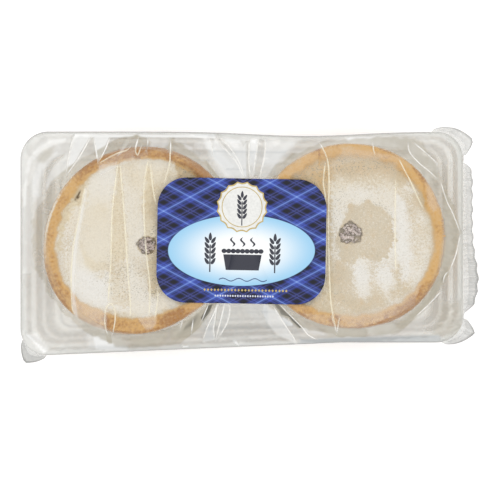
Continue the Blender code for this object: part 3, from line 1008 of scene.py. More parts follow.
# Folds and places where the film gets more painted shade: strength, softness and outline, as for the veils
SHADED_FOLDS = [
    ("top, dark fold", 0.3, 0.3, [(168.3, 137.5), (172.3, 137.5), (172.5, 153), (168.2, 153)]),
    ("top, horn", 0.16, 0.4,
     [(133, 134.5), (137, 134.5), (144, 143.5), (143.8, 151), (141.6, 149), (139.6, 142)]),
    ("top, thin line", 0.34, 0.3, [(147.8, 137), (149.4, 137), (146.8, 152), (145.2, 152)]),
    ("top left, shaded side", 0.14, 0.6, [(113, 139), (126, 138), (118, 151), (108, 154)]),
    ("right end, beside the pie", 0.34, 1.5,
     [(444, 190), (452, 200), (460, 233), (452, 262), (443, 282), (440, 262), (444, 235)]),
    ("bottom right corner", 0.42, 3.0, [(440, 300), (462, 300), (466, 336), (430, 338)]),
    ("in front of the left pie, right half", 0.54, 2.5,
     [(173, 332), (186, 323), (198, 312), (207, 314), (201, 328), (188, 337), (174, 341)]),
    ("right of the right pie, below", 0.5, 2.0,
     [(440, 276), (450, 272), (446, 280), (436, 298), (420, 314), (404, 328), (398, 326), (414, 312),
      (428, 296)]),
    ("in front of the left pie", 0.52, 2.5,
     [(132, 340), (150, 337), (164, 334), (163, 341), (152, 345), (134, 346)]),
    ("in front of the right pie", 0.42, 2.5, [(322, 327), (366, 330), (364, 338), (328, 338)]),
    ("top left corner", 0.3, 1.5, [(36, 160), (44, 149), (54, 147), (52, 156), (44, 164)]),
    ("gap, front dark wedge, upper part", 0.76, 0.4,
     [(272.8, 303), (278.5, 303.5), (290, 315), (294, 319), (287, 317), (281, 316)]),
    ("gap, front dark wedge, lower part", 1.3, 0.4,
     [(288, 315), (291, 316), (303, 328), (299, 328.4), (292, 322)]),
    ("gap, shade along the left ring", 0.62, 0.5,
     [(203, 159), (206, 160.5), (212, 168), (220, 178), (216, 178), (209, 168)]),
    ("gap, front brown wedge", 0.9, 0.5,
     [(207, 305), (213.5, 303.5), (210, 312), (203, 321), (201.5, 318)]),
    ("gap, shade by the left pie", 0.2, 1.0, [(184, 318), (196, 308), (201, 310), (193, 325), (184, 330)]),
    ("bottom, shaded loop", 0.26, 0.4, [(105, 330), (109.5, 331), (112, 344), (108, 344)]),
]

# Where the film gets a bluish grey painted shade: over the tray's wall and floor between the pies
COOL_SHADE_FOLDS = [
    ("gap, in front", 0.44, 2.0, [(204, 320), (216, 306), (272, 306), (300, 330), (304, 343), (198, 345)]),
    ("gap, front tray line", 0.3, 0.5, [(206, 326.6), (286, 325.6), (286, 329), (206, 330)]),
    ("gap, lower tray line", 0.24, 0.5, [(200, 336.6), (290, 335.6), (290, 337.2), (200, 338.2)]),
    ("gap, inner tray line", 0.24, 0.5, [(214, 311.6), (276, 311), (276, 313), (214, 313.6)]),
    ("gap, behind", 0.24, 1.5, [(206, 150), (292, 150), (270, 178), (232, 178)]),
    ("gap, back tray line", 0.3, 0.4, [(208, 150.4), (286, 151.4), (286, 153.2), (208, 152.2)]),
    ("gap, back floor line", 0.3, 0.4, [(226, 168.4), (276, 168.8), (276, 170.4), (226, 170)]),
    ("gap, front glare", -0.34, 0.7,
     [(268, 306), (272, 305), (281, 318), (290, 333), (297.6, 344.4), (286, 339), (276, 334.5),
      (268, 324)]),
    ("right strip of the flange", 1.0, 0.8, [(300, 339), (440, 335), (446, 342), (300, 346)]),
    ("back strip of the flange", 0.36, 0.5, [(195, 133), (305, 135.4), (305, 137.6), (195, 136.2)]),
    ("front strip of the flange", 0.36, 1.0,
     [(60, 346), (300, 344), (440, 338), (440, 342), (300, 348), (60, 352)]),
]

STREAKS = Waves(21, 2.2, 9.0, 40)
BROAD_STREAKS = Waves(22, 8.0, 30.0, 24)
BORDER_WANDER = Waves(23, 4.0, 20.0, 26)

# Where the film is pulled tight from: the middle of each place, and its reach
PULLS = [(LEFT_PIE, 40.0), (RIGHT_PIE, 40.0), ((-3.5, 26.0), 18.0), ((-8.0, -22.0), 18.0)]
PULL_FADE = 12.0

# From where to where, along the pack, the film is gathered towards the seal
GATHER_START = 84.0
STREAKS_UPRIGHT = 96.0
VEIL_DROP_END = 94.0
GATHER_FULL = 108.0


def pull_streaks(x, y):
    """Streaks that run the way the film is pulled, about 1 high."""
    total = np.zeros(x.shape)
    weight = np.full(x.shape, 1e-6)
    for centre, reach in PULLS:
        radius, angle = polar(x, y, centre)
        near = bell(np.maximum(radius - reach, 0.0), 0.0, PULL_FADE)
        around = reach * angle
        total += near * (0.6 * STREAKS(around, 0.12 * radius) + 0.5 * BROAD_STREAKS(around, 0.3 * radius))
        weight += near
    gathered = smooth_step(GATHER_START, STREAKS_UPRIGHT, x)
    upright = 0.8 * STREAKS(1.1 * x, 0.14 * y)
    return (1.0 - gathered) * total / np.maximum(weight, 0.35) + gathered * upright


def with_patches(value, patches, x, y):
    """A field with each patch's strength added inside its outline."""
    for _, strength, softness, outline in patches:
        value = value + strength * inside_share(x, y, path_from_photo(outline), softness)
    return value


def film_veil(x, y):
    """How much painted sheen the film shows between its folds, how much painted shade next to the pies, and
    how much bluish grey painted shade.
    """
    on_pie = 1.0 - smooth_step(-0.3, 0.7, past_pies(x, y))
    near = np.zeros(x.shape)
    wander = 0.4 * BORDER_WANDER(x, y)
    seen_x, seen_y = as_seen(x, y)
    for zone in OLIVE_ZONES:
        inside = inside_share(seen_x + wander, seen_y + wander, path_from_photo(zone), OLIVE_SOFTNESS)
        near = np.maximum(near, inside)
    outer = OUTER_VEIL - RIGHT_END_DROP * smooth_step(GATHER_START, VEIL_DROP_END, x)
    streaks = pull_streaks(x, y)
    veil = near * (NEAR_VEIL + NEAR_STREAKS * streaks)
    veil = veil + (1.0 - near) * outer * (1.0 + OUTER_STREAKS * streaks)
    veil = veil * (1.0 - on_pie) + LID_VEIL * (1.0 + LID_STREAKS * streaks) * on_pie
    shadowed = NEAR_SHADE * near * (1.0 - on_pie) * (1.0 + SHADE_STREAKS * streaks)
    veil = with_patches(veil, VEILS, seen_x, seen_y)
    shadowed = with_patches(shadowed, SHADED_FOLDS, seen_x, seen_y)
    cool_shade = with_patches(np.zeros(x.shape), COOL_SHADE_FOLDS, seen_x, seen_y)
    cool_shade = np.clip(cool_shade, 0.0, 1.0) * (1.0 - on_pie)
    return np.clip(veil + COOL_SHADE_VEIL * cool_shade, 0.0, HIGHEST_VEIL), np.clip(shadowed, 0.0, HIGHEST_SHADE), cool_shade


CRINKLE = Waves(11, 5.0, 16.0, 30)
FINE_CRINKLE = Waves(12, 1.6, 4.5, 36, stretch=(2.6, 1.0))
SIDE_CRINKLE = Waves(13, 4.0, 18.0, 26, stretch=(1.0, 3.0))
SLACK_RELIEF = 0.18
GATHER_RELIEF = 0.3
FOLD_LIFT = 0.22
FOLD_SPREAD = 0.7
RELIEF_LIMIT = 0.5
FILM_DROP = 0.12


def film_relief(x, y):
    """Folds in the film: slack between pie and flange, gathered towards the seal."""
    edge = edge_distance(x, y)
    slack = smooth_step(-2.0, 8.0, past_pies(x, y))
    slack = slack * smooth_step(0.0, 5.0, edge) * (1.0 - smooth_step(4.0, 0.0, label_gap(x, y)))
    gather = smooth_step(GATHER_START, GATHER_FULL, x) * smooth_step(0.0, 4.0, edge)
    relief = slack * SLACK_RELIEF * CRINKLE(x, y) + gather * GATHER_RELIEF * FINE_CRINKLE(x, y)
    seen_x, seen_y = as_seen(x, y)
    for path in PLEATS.values():
        way = fold_distance(seen_x, seen_y, path_from_photo(path))
        relief = relief + FOLD_LIFT * np.exp(-(way / FOLD_SPREAD) ** 2)
    return relief


def film_surface(x, y):
    """The film's height with its folds, kept just under the solid's."""
    return film_height(x, y) - FILM_INSET + np.minimum(film_relief(x, y), RELIEF_LIMIT) - FILM_DROP


FILM_CORNER_STEPS = 18
FILM_MIDDLE_STEPS = 330
FILM_ROWS = 170

# The film's side from the flange down to its base: height, and inset from the edge
FILM_SIDE = [(27.4, 0.0), (26.2, 0.25), (24.0, 1.2), (22.4, 2.0), (21.9, 2.1), (21.5, 2.2), (21.35, 2.25),
             (21.15, 2.3), (20.9, 2.4), (20.4, 2.6), (19.9, 2.8), (16.0, 4.1), (12.0, 5.4), (7.5, 6.9),
             (3.0, 8.4), (1.4, 9.3), (0.6, 10.2), (0.25, 11.6)]

# How far each level of the side runs out into the seal and the ears, and how far the levels above lean out
SEAL_SHARE = {4: 0.45, 5: 0.8, 6: 1.0, 7: 1.0, 8: 0.8, 9: 0.45}
EAR_SLOPE = {1: 0.10, 2: 0.24, 3: 0.36}
SEAL_MIDDLE_LEVEL = 7
SEAL_HEIGHT = 21.2
SEAL_SHEET = 0.22
SEAL_CRIMP = 0.35
LEFT_EAR_CRIMP = 0.3
# How the outline, sides, ears and seal of the film take painted sheen and painted shade
OUTLINE_VEIL = 0.62
OUTLINE_SHADE = 0.9
SIDE_WRINKLE = 0.22
SIDE_VEIL = 0.07
SIDE_SHADE = 0.5
SEAL_VEIL = 0.37
SEAL_LINE_VEIL = 0.28
SEAL_LINE_SHADE = 0.4
LEFT_EAR_VEIL = 0.12
FRONT_EAR_SHADE = 0.3


def make_film(material):
    """The whole wrap as one closed skin, pinched flat at its seal and ears."""
    left, right = FLANGE_LEFT + FILM_INSET, FLANGE_RIGHT - FILM_INSET
    xs = columns(left, right, CORNER_RADIUS, FILM_CORNER_STEPS, FILM_MIDDLE_STEPS)
    inset = corner_inset(xs, left, right, CORNER_RADIUS) + FILM_INSET
    low = front_edge(xs) + inset
    high = back_edge(xs) - inset
    rows, across = FILM_ROWS + 1, len(xs)
    share = np.linspace(0.0, 1.0, rows)[:, None]
    x = np.broadcast_to(xs[None, :], (rows, across)).copy()
    y = low[None, :] + (high - low)[None, :] * share
    points = [stacked(x, y, film_surface(x, y))]
    veil, shadowed, cool_shade = film_veil(x, y)
    # A thin grey painted shade along the film's outline
    border = 1.0 - smooth_step(0.15, 0.9, edge_distance(x, y) - FILM_INSET)
    border = border * (1.0 - np.minimum(fin_reach(x, y) / FIN_SPREAD_OUT, 1.0))
    values = {"veil": [np.maximum(veil, OUTLINE_VEIL * border).ravel()],
              "shade": [(OUTLINE_SHADE * border).ravel()],
              "shadowed": [(shadowed * (1.0 - border)).ravel()],
              "cool_shade": [cool_shade.ravel()]}
    faces = grid_quads(rows, across).tolist()
    grid = np.arange(rows * across).reshape(rows, across)
    upper = np.concatenate([grid[0], grid[1:-1, -1], grid[-1, ::-1], grid[1:-1, 0][::-1]])
    ring_x, ring_y = points[0][upper, 0], points[0][upper, 1]
    following = np.roll(np.arange(len(upper)), -1)
    nx, ny = outward(ring_x, ring_y)
    reach = fin_reach(ring_x, ring_y)
    pinch = np.minimum(reach / FIN_SPREAD_OUT, 1.0)
    crimp = SEAL_CRIMP * FINE_CRINKLE(ring_x * 0.3, ring_y * 1.4) * np.minimum(reach / 6.0, 1.0)
    crimp = crimp * np.where(ring_x > 0.0, 1.0, LEFT_EAR_CRIMP)
    angle = np.linspace(0.0, 2.0 * math.pi, len(upper), endpoint=False)
    along = np.cumsum(np.hypot(np.roll(ring_x, -1) - ring_x, np.roll(ring_y, -1) - ring_y))
    first = len(points[0])
    for level, (height, step_in) in enumerate(FILM_SIDE):
        heights = np.full(ring_x.shape, height)
        wrinkle = SIDE_WRINKLE * SIDE_CRINKLE(along, heights) * smooth_step(0.5, 6.0, height)
        offset = step_in + np.abs(wrinkle * smooth_step(28.0, 25.0, height))
        # Sides, ears and seal: painted sheen whitens them and painted shade greys them
        haze_and_sheen = SIDE_VEIL + 0.03 * np.sin(3.0 * angle)
        grey = np.full(haze_and_sheen.shape, SIDE_SHADE)
        if level == 0:
            haze_and_sheen = haze_and_sheen + (OUTLINE_VEIL - haze_and_sheen) * (1.0 - pinch)
            grey = OUTLINE_SHADE * (1.0 - pinch)
        if level in EAR_SLOPE:
            offset = offset * (1.0 - pinch) - EAR_SLOPE[level] * reach
        if level in SEAL_SHARE:
            run_out = SEAL_SHARE[level]
            side = 1.0 if level < SEAL_MIDDLE_LEVEL else -1.0
            offset = offset * (1.0 - pinch) - reach * run_out
            heights = heights * (1.0 - pinch) + pinch * (SEAL_HEIGHT + side * 0.5 * SEAL_SHEET)
            heights = heights + (crimp - FIN_DROOP * reach) * run_out
            haze_and_sheen = haze_and_sheen + SEAL_VEIL * np.minimum(reach / 4.0, 1.0) + 0.2 * pinch * crimp
            haze_and_sheen = haze_and_sheen + LEFT_EAR_VEIL * pinch * (ring_x < 0.0)
            grey = grey + FRONT_EAR_SHADE * smooth_step(0.0, -20.0, ring_y) * pinch
            if run_out == 1.0:
                haze_and_sheen = haze_and_sheen + SEAL_LINE_VEIL * pinch
                grey = grey + SEAL_LINE_SHADE * pinch
        points.append(np.column_stack([ring_x - nx * offset, ring_y - ny * offset, heights]))
        none = np.zeros(grey.shape)
        for key, data in (("veil", haze_and_sheen), ("shade", grey), ("shadowed", none), ("cool_shade", none)):
            values[key].append(data)
        lower = np.arange(first, first + len(upper))
        faces += np.stack([upper[following], upper, lower, lower[following]], axis=-1).tolist()
        upper = lower
        first += len(upper)
    faces.append(upper[::-1].tolist())
    values = {key: np.concatenate(data) for key, data in values.items()}
    film = make_piece("film", np.concatenate(points), faces, material, values)
    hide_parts("film_pack")


def make_creases(material):
    """Fine raised ridges where the film is folded: bright hairlines from above, coloured as painted
    highlights.
    """
    points, faces, veils, warmths = [], [], [], []
    for path in PLEATS.values():
        line = smooth_path(path_from_photo(path), CREASE_SPACING)
        scale = height_scale(film_height(line[:, 0], line[:, 1]))
        line = np.column_stack([line[:, 0] * scale, CAMERA_Y + (line[:, 1] - CAMERA_Y) * scale])
        dx, dy = np.gradient(line[:, 0]), np.gradient(line[:, 1])
        length = np.hypot(dx, dy)
        nx, ny = -dy / length, dx / length
        steps_from_end = np.minimum(np.arange(len(line)), np.arange(len(line))[::-1])
        taper = np.minimum(1.0, steps_from_end / CREASE_TAPER_STEPS) + 0.15
        base = film_surface(line[:, 0], line[:, 1])
        start = sum(len(p) for p in points)
        sections = []
        for across, lift in CREASE_SECTION:
            shift = across * CREASE_WIDTH * taper
            sections.append(np.column_stack([line[:, 0] + nx * shift, line[:, 1] + ny * shift,
                                             base + lift * CREASE_HEIGHT * taper]))
        points.append(np.stack(sections, axis=1).reshape(-1, 3))
        faces += grid_quads(len(line), 4, wrap=True, first=start).tolist()
        end = start + 4 * (len(line) - 1)
        faces.append([start, start + 1, start + 2, start + 3])
        faces.append([end + 3, end + 2, end + 1, end])
        over_pie = 1.0 - smooth_step(-1.0, 1.0, past_pies(line[:, 0], line[:, 1]))
        veils.append(np.repeat((CREASE_VEIL - CREASE_SOFTER * over_pie) * np.minimum(taper, 1.0), 4))
        warmths.append(np.repeat(over_pie, 4))
    creases = make_piece("film_creases", np.concatenate(points), faces, material,
                         {"veil": np.concatenate(veils), "warmth": np.concatenate(warmths)}, smooth=False)


# The pies

PIE_ANGLES = 640
RIM_WIDTH = 5.0
LID_LEVEL = 34.0
LID_RINGS = 88

# Where a rim is wider or browner: facing and spread in degrees, and how much; and where its outer edge gets a
# painted highlight: facing and spread in degrees
PIES = {
    "left": {
        "centre": LEFT_PIE, "outline": LEFT_REACH, "seed": 31, "cream": 0.42, "lid": 0.0,
        "hole": (-51.9, -2.6), "hole_radius": 4.55, "squash": 0.96, "fill": -0.4,
        "wider": [(-112.0, 42.0, 2.6), (96.0, 30.0, 0.6), (52.0, 20.0, -1.0)],
        "browner": [(95.0, 38.0, 0.27), (48.0, 15.0, 0.36), (-95.0, 35.0, 0.04), (-150.0, 24.0, 0.12),
                    (-66.0, 10.0, 0.30)],
        "lit_edge": (166.0, 24.0),
    },
    "right": {
        "centre": RIGHT_PIE, "outline": RIGHT_REACH, "seed": 47, "cream": 0.24, "lid": 0.3,
        "hole": (50.6, 3.4), "hole_radius": 5.7, "squash": 0.93, "fill": 1.1,
        "wider": [(-90.0, 36.0, 0.4)],
        "browner": [(90.0, 40.0, -0.17), (140.0, 22.0, -0.12), (28.0, 12.0, -0.14), (-12.0, 16.0, -0.10),
                    (-50.0, 16.0, 0.24), (-85.0, 20.0, 0.06), (-112.0, 16.0, 0.10)],
        "lit_edge": (148.0, 10.0),
    },
}
SPLIT = {"px": (77.0, 195.8), "half_length": 3.1, "half_width": 0.62, "turn": 63.0}

# Each patch of a lid: change of flour, of baking and of creaminess, how soft its border is, and its
# outline in pixels. The dark folds, the dark lens and its edge, the dark side of the loop, the slits,
# the shaded foot and inner edge and the strips under the pleats use these changes as painted shade
LID_PATCHES = {
    "left": [
        ("cream oval", -0.04, 0.0, 0.34, 3.0,
         [(84, 212), (96, 200), (108, 206), (113, 230), (111, 252), (104, 268), (92, 270), (83, 258),
          (79, 235)]),
        ("shaded foot of the oval", -0.14, 0.02, 0.5, 2.0,
         [(82, 244), (86, 256), (96, 264), (110, 262), (111, 270), (98, 274), (86, 266)]),
        ("white foot of the lid", 0.08, 0.0, -0.5, 4.0,
         [(74, 264), (84, 270), (97, 278), (108, 276), (108, 302), (96, 304), (80, 298), (73, 288)]),
        ("grey left margin", -0.16, -0.04, -0.3, 3.0,
         [(57, 236), (66, 224), (72, 232), (70, 262), (69, 292), (60, 282), (56, 260)]),
        ("cream top", -0.1, 0.0, 0.3, 4.0,
         [(124, 166), (150, 164), (180, 172), (170, 196), (152, 210), (144, 190), (128, 186)]),
        ("strip under the first pleat", -0.16, 0.02, 0.34, 1.2,
         [(117, 168), (121, 168), (125, 218), (128, 267), (131, 306), (109, 306), (111, 260), (112, 209)]),
        ("strip under the second pleat", -0.1, 0.02, 0.45, 1.0,
         [(148, 168), (150, 168), (156, 206), (158, 250), (158, 290), (150, 292), (147, 260), (144, 230),
          (144, 190)]),
        ("crumbs right of the split", -0.3, 0.06, 0.9, 1.6,
         [(68, 212), (74, 206), (84, 204), (88, 195), (86, 184), (92, 176), (84, 177), (77, 188),
          (68, 204)]),
        ("yellow ridge on the left", -0.06, 0.0, 1.0, 1.6,
         [(57, 252), (57, 236), (60, 222), (66, 208), (73, 203), (71, 211), (66, 222), (62, 238),
          (61, 252)]),
        ("pale crack beside the split", 0.5, -0.2, 0.3, 0.5,
         [(66, 210), (67, 206), (74, 200), (76, 202), (70, 208)]),
        ("dark fold on the top rim 1", 0.0, 0.3, 0.0, 0.4,
         [(98, 163), (104, 156), (110, 152.5), (118, 151), (118, 154), (108, 158.5)]),
        ("dark fold on the top rim 2", -0.1, 0.42, 0.0, 0.4,
         [(137, 149), (135.2, 160), (137.3, 162), (141, 155.6), (142.7, 152)]),
        ("dark fold on the top rim 3", -0.1, 0.42, 0.0, 0.4,
         [(168.3, 150), (172.5, 150), (172.3, 162), (167.7, 162)]),
        ("dark side of the loop", -0.1, 0.22, 0.0, 0.4,
         [(105.4, 337), (103.8, 322), (105.4, 310), (108.4, 308), (108.6, 322), (109.6, 337)]),
        ("dusty lower strip", 0.02, 0.0, -0.4, 2.5, [(110, 262), (128, 262), (131, 310), (108, 310)]),
        ("speckled right side", -0.26, -0.02, 0.0, 3.0,
         [(152, 190), (162, 184), (166, 240), (162, 292), (152, 300), (146, 288), (150, 270), (158, 250),
          (158, 230), (150, 215)]),
        ("shaded inner edge, upper right", -0.3, 0.3, 0.0, 0.8,
         [(174, 160), (190, 166), (206, 178), (204, 182), (188, 171), (172, 164)]),
        ("tan upper right", -0.62, 0.1, 0.3, 2.0,
         [(176, 163), (196, 172), (214, 190), (214, 205), (192, 200), (178, 184)]),
        ("thin flour by the hole", -0.22, -0.02, 0.0, 2.5,
         [(132, 254), (146, 256), (158, 256), (158, 275), (140, 278), (130, 270)]),
        ("pale lower left rim", 0.0, -0.14, 0.5, 2.0,
         [(66, 300), (75, 318), (90, 330), (104, 336), (104, 312), (84, 304)]),
        ("golden fold on the lower right rim", 0.0, 0.22, 0.3, 0.6,
         [(175, 300), (179, 302), (182, 310), (180, 318), (175.5, 319), (178, 310)]),
        ("golden lower edge", -0.4, 0.1, 0.3, 3.0,
         [(62, 296), (72, 304), (84, 306), (104, 312), (130, 317), (150, 317), (170, 310), (186, 300),
          (196, 310), (180, 324), (130, 336), (86, 326), (58, 306)]),
    ],
    "right": [
        ("dark fold on the top rim 1", -0.1, 0.22, 0.0, 0.4,
         [(318.5, 142), (316.8, 158), (318, 167), (320.4, 158), (320.2, 148)]),
        ("dark fold on the top rim 2", -0.1, 0.26, 0.0, 0.4,
         [(369, 142), (371.6, 143), (374.7, 151), (375.6, 156), (373.2, 153)]),
        ("dark lens on the right rim", -0.2, -0.12, 0.2, 0.4,
         [(397.7, 155.5), (404.5, 167.3), (415.7, 184.8), (422, 199.7), (424.4, 208.4), (427, 199.7),
          (426.3, 183.5), (419.5, 171), (409.5, 162.4)]),
        ("dark outer edge of the lens", -0.1, 0.26, 0.2, 0.5,
         [(404, 158), (412, 163), (420, 171.5), (426.4, 184), (427.4, 200), (424.6, 209), (423.6, 197),
          (421, 184), (414, 173)]),
        ("left slit at the bottom", -0.1, 0.5, 0.0, 0.3,
         [(330, 313.5), (332, 313.5), (334.6, 327), (332.4, 327)]),
        ("right slit at the bottom", -0.1, 0.5, 0.0, 0.3,
         [(338.6, 313.5), (340.4, 313.5), (340, 327), (335.6, 327)]),
        ("brown lower edge", -0.1, 0.3, 0.0, 0.5,
         [(351, 328), (369.7, 325.4), (381, 320.6), (397, 314.2), (414, 305.4), (416, 308), (398, 319),
          (380, 327), (352, 332)]),
        ("browner edge by the label", -0.1, 0.06, 0.0, 3.0,
         [(268, 190), (290, 166), (318, 153), (334, 151), (333, 176), (328, 210), (316, 240), (290, 220)]),
        ("dull upper lid", -0.86, 0.1, 0.5, 4.0,
         [(272, 184), (290, 168), (318, 154), (350, 150), (385, 154), (410, 168), (420, 184), (400, 180),
          (380, 174), (352, 177), (336, 174), (327, 186), (325, 210), (325, 240), (316, 240), (290, 220)]),
        ("thin flour below the dull edge", -0.22, 0.03, 0.4, 4.0,
         [(332, 176), (352, 178), (380, 176), (404, 184), (400, 192), (380, 186), (352, 187), (334, 190)]),
        ("bare patch round the hole", -0.48, 0.0, 0.1, 0.9,
         [(339, 228), (345, 213), (353, 205), (366, 201), (380, 206), (391, 216), (395, 232), (393, 248),
          (386, 258), (373, 261), (361, 258), (352, 263), (344, 264), (338, 254), (336, 240)]),
        ("creamy strip by the label", -0.2, 0.0, 0.5, 1.5,
         [(324, 190), (331, 186), (331, 300), (325, 296)]),
        ("thin flour on the right", -0.24, 0.0, 0.0, 4.0,
         [(397, 180), (412, 190), (424, 206), (432, 232), (430, 262), (418, 286), (402, 298), (398, 270),
          (404, 240)]),
        ("bare right margin", -0.4, 0.05, 0.6, 3.0,
         [(414, 196), (426, 212), (434, 236), (432, 262), (420, 288), (430, 290), (440, 262), (442, 232),
          (432, 204), (420, 186)]),
        ("thin flour under the bare patch", -0.44, 0.02, 0.1, 3.0,
         [(336, 262), (352, 266), (400, 262), (404, 290), (384, 306), (352, 306), (334, 298), (328, 280)]),
        ("tan lower lid", -0.4, 0.03, 0.3, 4.0,
         [(300, 296), (330, 292), (352, 300), (366, 304), (384, 306), (400, 302), (416, 290), (406, 308),
          (380, 318), (350, 322), (318, 314)]),
        ("left of the hole", -0.16, 0.0, 0.0, 3.0,
         [(326, 200), (336, 222), (336, 262), (346, 268), (340, 292), (326, 290)]),
        ("flour finger 1", 0.42, 0.0, -0.3, 3.0,
         [(354, 268), (360, 264), (368, 268), (371, 284), (366, 302), (359, 302), (355, 284)]),
        ("flour finger 2", 0.42, 0.0, -0.3, 3.0,
         [(374, 268), (384, 264), (394, 266), (394, 286), (388, 299), (382, 290), (377, 280)]),
        ("white streak on the right", 0.2, 0.0, -0.5, 1.6,
         [(397, 196), (404, 200), (412, 226), (412, 262), (406, 284), (399, 292), (398, 250)]),
    ],
}

# Dark specks in the flour: how strong, how soft the border is, the outline in pixels
SPECKS = {
    "left": [
        ("dusty lower lid", 0.62, 5.0,
         [(96, 262), (112, 246), (128, 248), (132, 262), (150, 258), (162, 240), (164, 296), (150, 304),
          (130, 302), (112, 300), (98, 294), (92, 278)]),
        ("upper right", 1.0, 2.0, [(176, 162), (196, 172), (214, 192), (190, 196), (178, 182)]),
        ("strip beside the label", 0.85, 1.2,
         [(150, 226), (158, 224), (160, 290), (154, 304), (149, 300), (150, 260)]),
        ("whole lid", 0.2, 3.0,
         [(70, 200), (100, 170), (150, 160), (200, 178), (220, 240), (200, 296), (140, 316), (84, 300),
          (62, 250)]),
    ],
    "right": [
        ("dull upper lid", 0.95, 4.0,
         [(272, 184), (290, 168), (318, 154), (350, 150), (385, 154), (410, 168), (400, 176), (380, 172),
          (352, 176), (336, 174), (326, 190), (324, 230), (316, 240), (290, 220)]),
        ("beside the crease", 0.6, 2.0,
         [(331, 182), (342, 186), (350, 200), (342, 216), (340, 262), (346, 306), (333, 308), (331, 250)]),
        ("edge of the bare patch", 0.85, 1.6,
         [(350, 203), (366, 197), (382, 201), (394, 214), (397, 240), (392, 240), (390, 218), (379, 207),
          (366, 203)]),
        ("whole lid", 0.26, 3.0,
         [(290, 190), (310, 170), (350, 160), (400, 172), (432, 214), (432, 262), (400, 306), (350, 316),
          (300, 300)]),
    ],
}


HOLE_DEPTH = 5.2
HOLE_RISE = 1.2
HOLE_FLOOR = (0.0, 0.5, 0.9, 0.97)
HOLE_LIP = ((0.99, 2.6), (1.0, 0.9), (1.03, 0.3), (1.08, 0.02))
LID_MARGIN = 5.0
RIM_STEPS = 14

# The rim's inner slope: the way from its inner edge, and the share of its height
RIM_SLOPE = [(-4.4, 0.02), (-3.7, 0.07), (-3.0, 0.15), (-2.3, 0.27), (-1.6, 0.43), (-1.0, 0.60),
             (-0.5, 0.75), (0.0, 0.88)]

# The crust's wall from the rim to the middle of the base: the way from its outline, and share of height
CRUST_WALL = [(0.25, 0.985), (0.35, 0.96), (0.2, 0.92), (-0.2, 0.86), (-0.7, 0.78), (-1.3, 0.68),
              (-1.9, 0.58), (-2.6, 0.48), (-3.4, 0.38), (-4.3, 0.28), (-5.3, 0.18), (-6.2, 0.10),
              (-7.0, 0.045), (-7.8, 0.012), (-8.8, 0.0), (-14.0, 0.0), (-28.0, 0.0), (-42.0, 0.0)]


def pie_rings(pie):
    """Distance and height of each ring of the pie, from the hole's middle over the rim to the base."""
    seed = pie["seed"]
    angle = np.linspace(0.0, 2.0 * math.pi, PIE_ANGLES, endpoint=False)
    outline = round_outline(angle, pie["outline"])
    around = Waves(seed, 6.0, 40.0, 24)
    bumps = Waves(seed + 1, 2.2, 7.0, 40)
    swell = Waves(seed + 2, 18.0, 60.0, 16)
    ux, uy = np.cos(angle), np.sin(angle)
    width = RIM_WIDTH + 0.4 * around(46.0 * ux, 46.0 * uy)
    for facing_deg, spread_deg, more in pie["wider"]:
        width = width + more * facing_share(angle, facing_deg, spread_deg)
    rings = []
    cx, cy = pie["centre"]
    hx, hy = pie["hole"]
    ragged = 1.0 + 0.09 * np.sin(3.0 * angle + seed) + 0.07 * np.sin(5.0 * angle + 2.0 * seed)
    ragged = ragged + 0.05 * np.sin(11.0 * angle + seed)
    hole = pie["hole_radius"] * ragged
    inner = outline - width - LID_MARGIN
    inner_x, inner_y = cx + inner * ux, cy + inner * uy
    hole_x, hole_y = hx + hole * ux, hy + hole * pie["squash"] * uy

    def lid_height(x, y):
        return LID_LEVEL + pie["lid"] + 0.45 * swell(x, y) + 0.10 * bumps(x, y)

    for share in HOLE_FLOOR:
        x, y = hx + (hole_x - hx) * max(share, 0.02), hy + (hole_y - hy) * max(share, 0.02)
        rings.append((x, y, lid_height(x, y) - HOLE_DEPTH + HOLE_RISE * share))
    for share, drop in HOLE_LIP:
        x, y = hx + (hole_x - hx) * share, hy + (hole_y - hy) * share
        rings.append((x, y, lid_height(x, y) - drop + 0.18 * bumps(2.0 * x, 2.0 * y)))
    start_x, start_y = rings[-1][0], rings[-1][1]
    for i in range(1, LID_RINGS + 1):
        share = i / LID_RINGS
        x, y = start_x + (inner_x - start_x) * share, start_y + (inner_y - start_y) * share
        rings.append((x, y, lid_height(x, y)))
    top = PIE_TOP - 0.35 + 0.25 * swell(46.0 * ux, 46.0 * uy)
    edge_height = rings[-1][2]
    for step, lift in RIM_SLOPE:
        radius = outline - width + step
        rings.append((cx + radius * ux, cy + radius * uy, edge_height + (top - edge_height) * lift))
    for i in range(1, RIM_STEPS + 1):
        share = i / RIM_STEPS
        radius = outline - width * (1.0 - share)
        crown = 1.0 - (2.0 * share - 0.9) ** 2
        rings.append((cx + radius * ux, cy + radius * uy, top + 0.5 * crown - 0.45 + 0.15 * share))
    for step, lift in CRUST_WALL:
        z = PIE_BASE + (top - PIE_BASE) * lift
        rough = 0.08 * bumps(outline * angle + 3.0, z * 1.6) * (1.0 if 0.02 < lift else 0.0)
        radius = outline + step + rough
        rings.append((cx + radius * ux, cy + radius * uy, z))
    return rings, outline, width, bumps


LID_BAKE = 0.08
RIM_BAKE = 0.54
WALL_BAKE = 0.12
EDGE_BROWNING_AND_SHADE = 0.16
LIT_EDGE_BAKE = -0.30
LID_FLOUR = 0.90
LIT_EDGE_FLOUR = 0.75
HOLE_EDGE_SHADE = 0.2
SPLIT_DEPTH = 1.0


def split_share(x, y, rough):
    """1 in the split on the left rim and 0 beside it."""
    sx, sy = from_photo(*SPLIT["px"], RIM_HEIGHT)
    turn = math.radians(SPLIT["turn"])
    along_x, along_y = math.cos(turn), math.sin(turn)
    u = (x - sx) * along_x + (y - sy) * along_y
    v = -(x - sx) * along_y + (y - sy) * along_x + 0.10 * rough
    return 1.0 - smooth_step(0.6, 1.2, np.hypot(u / SPLIT["half_length"], v / SPLIT["half_width"]))


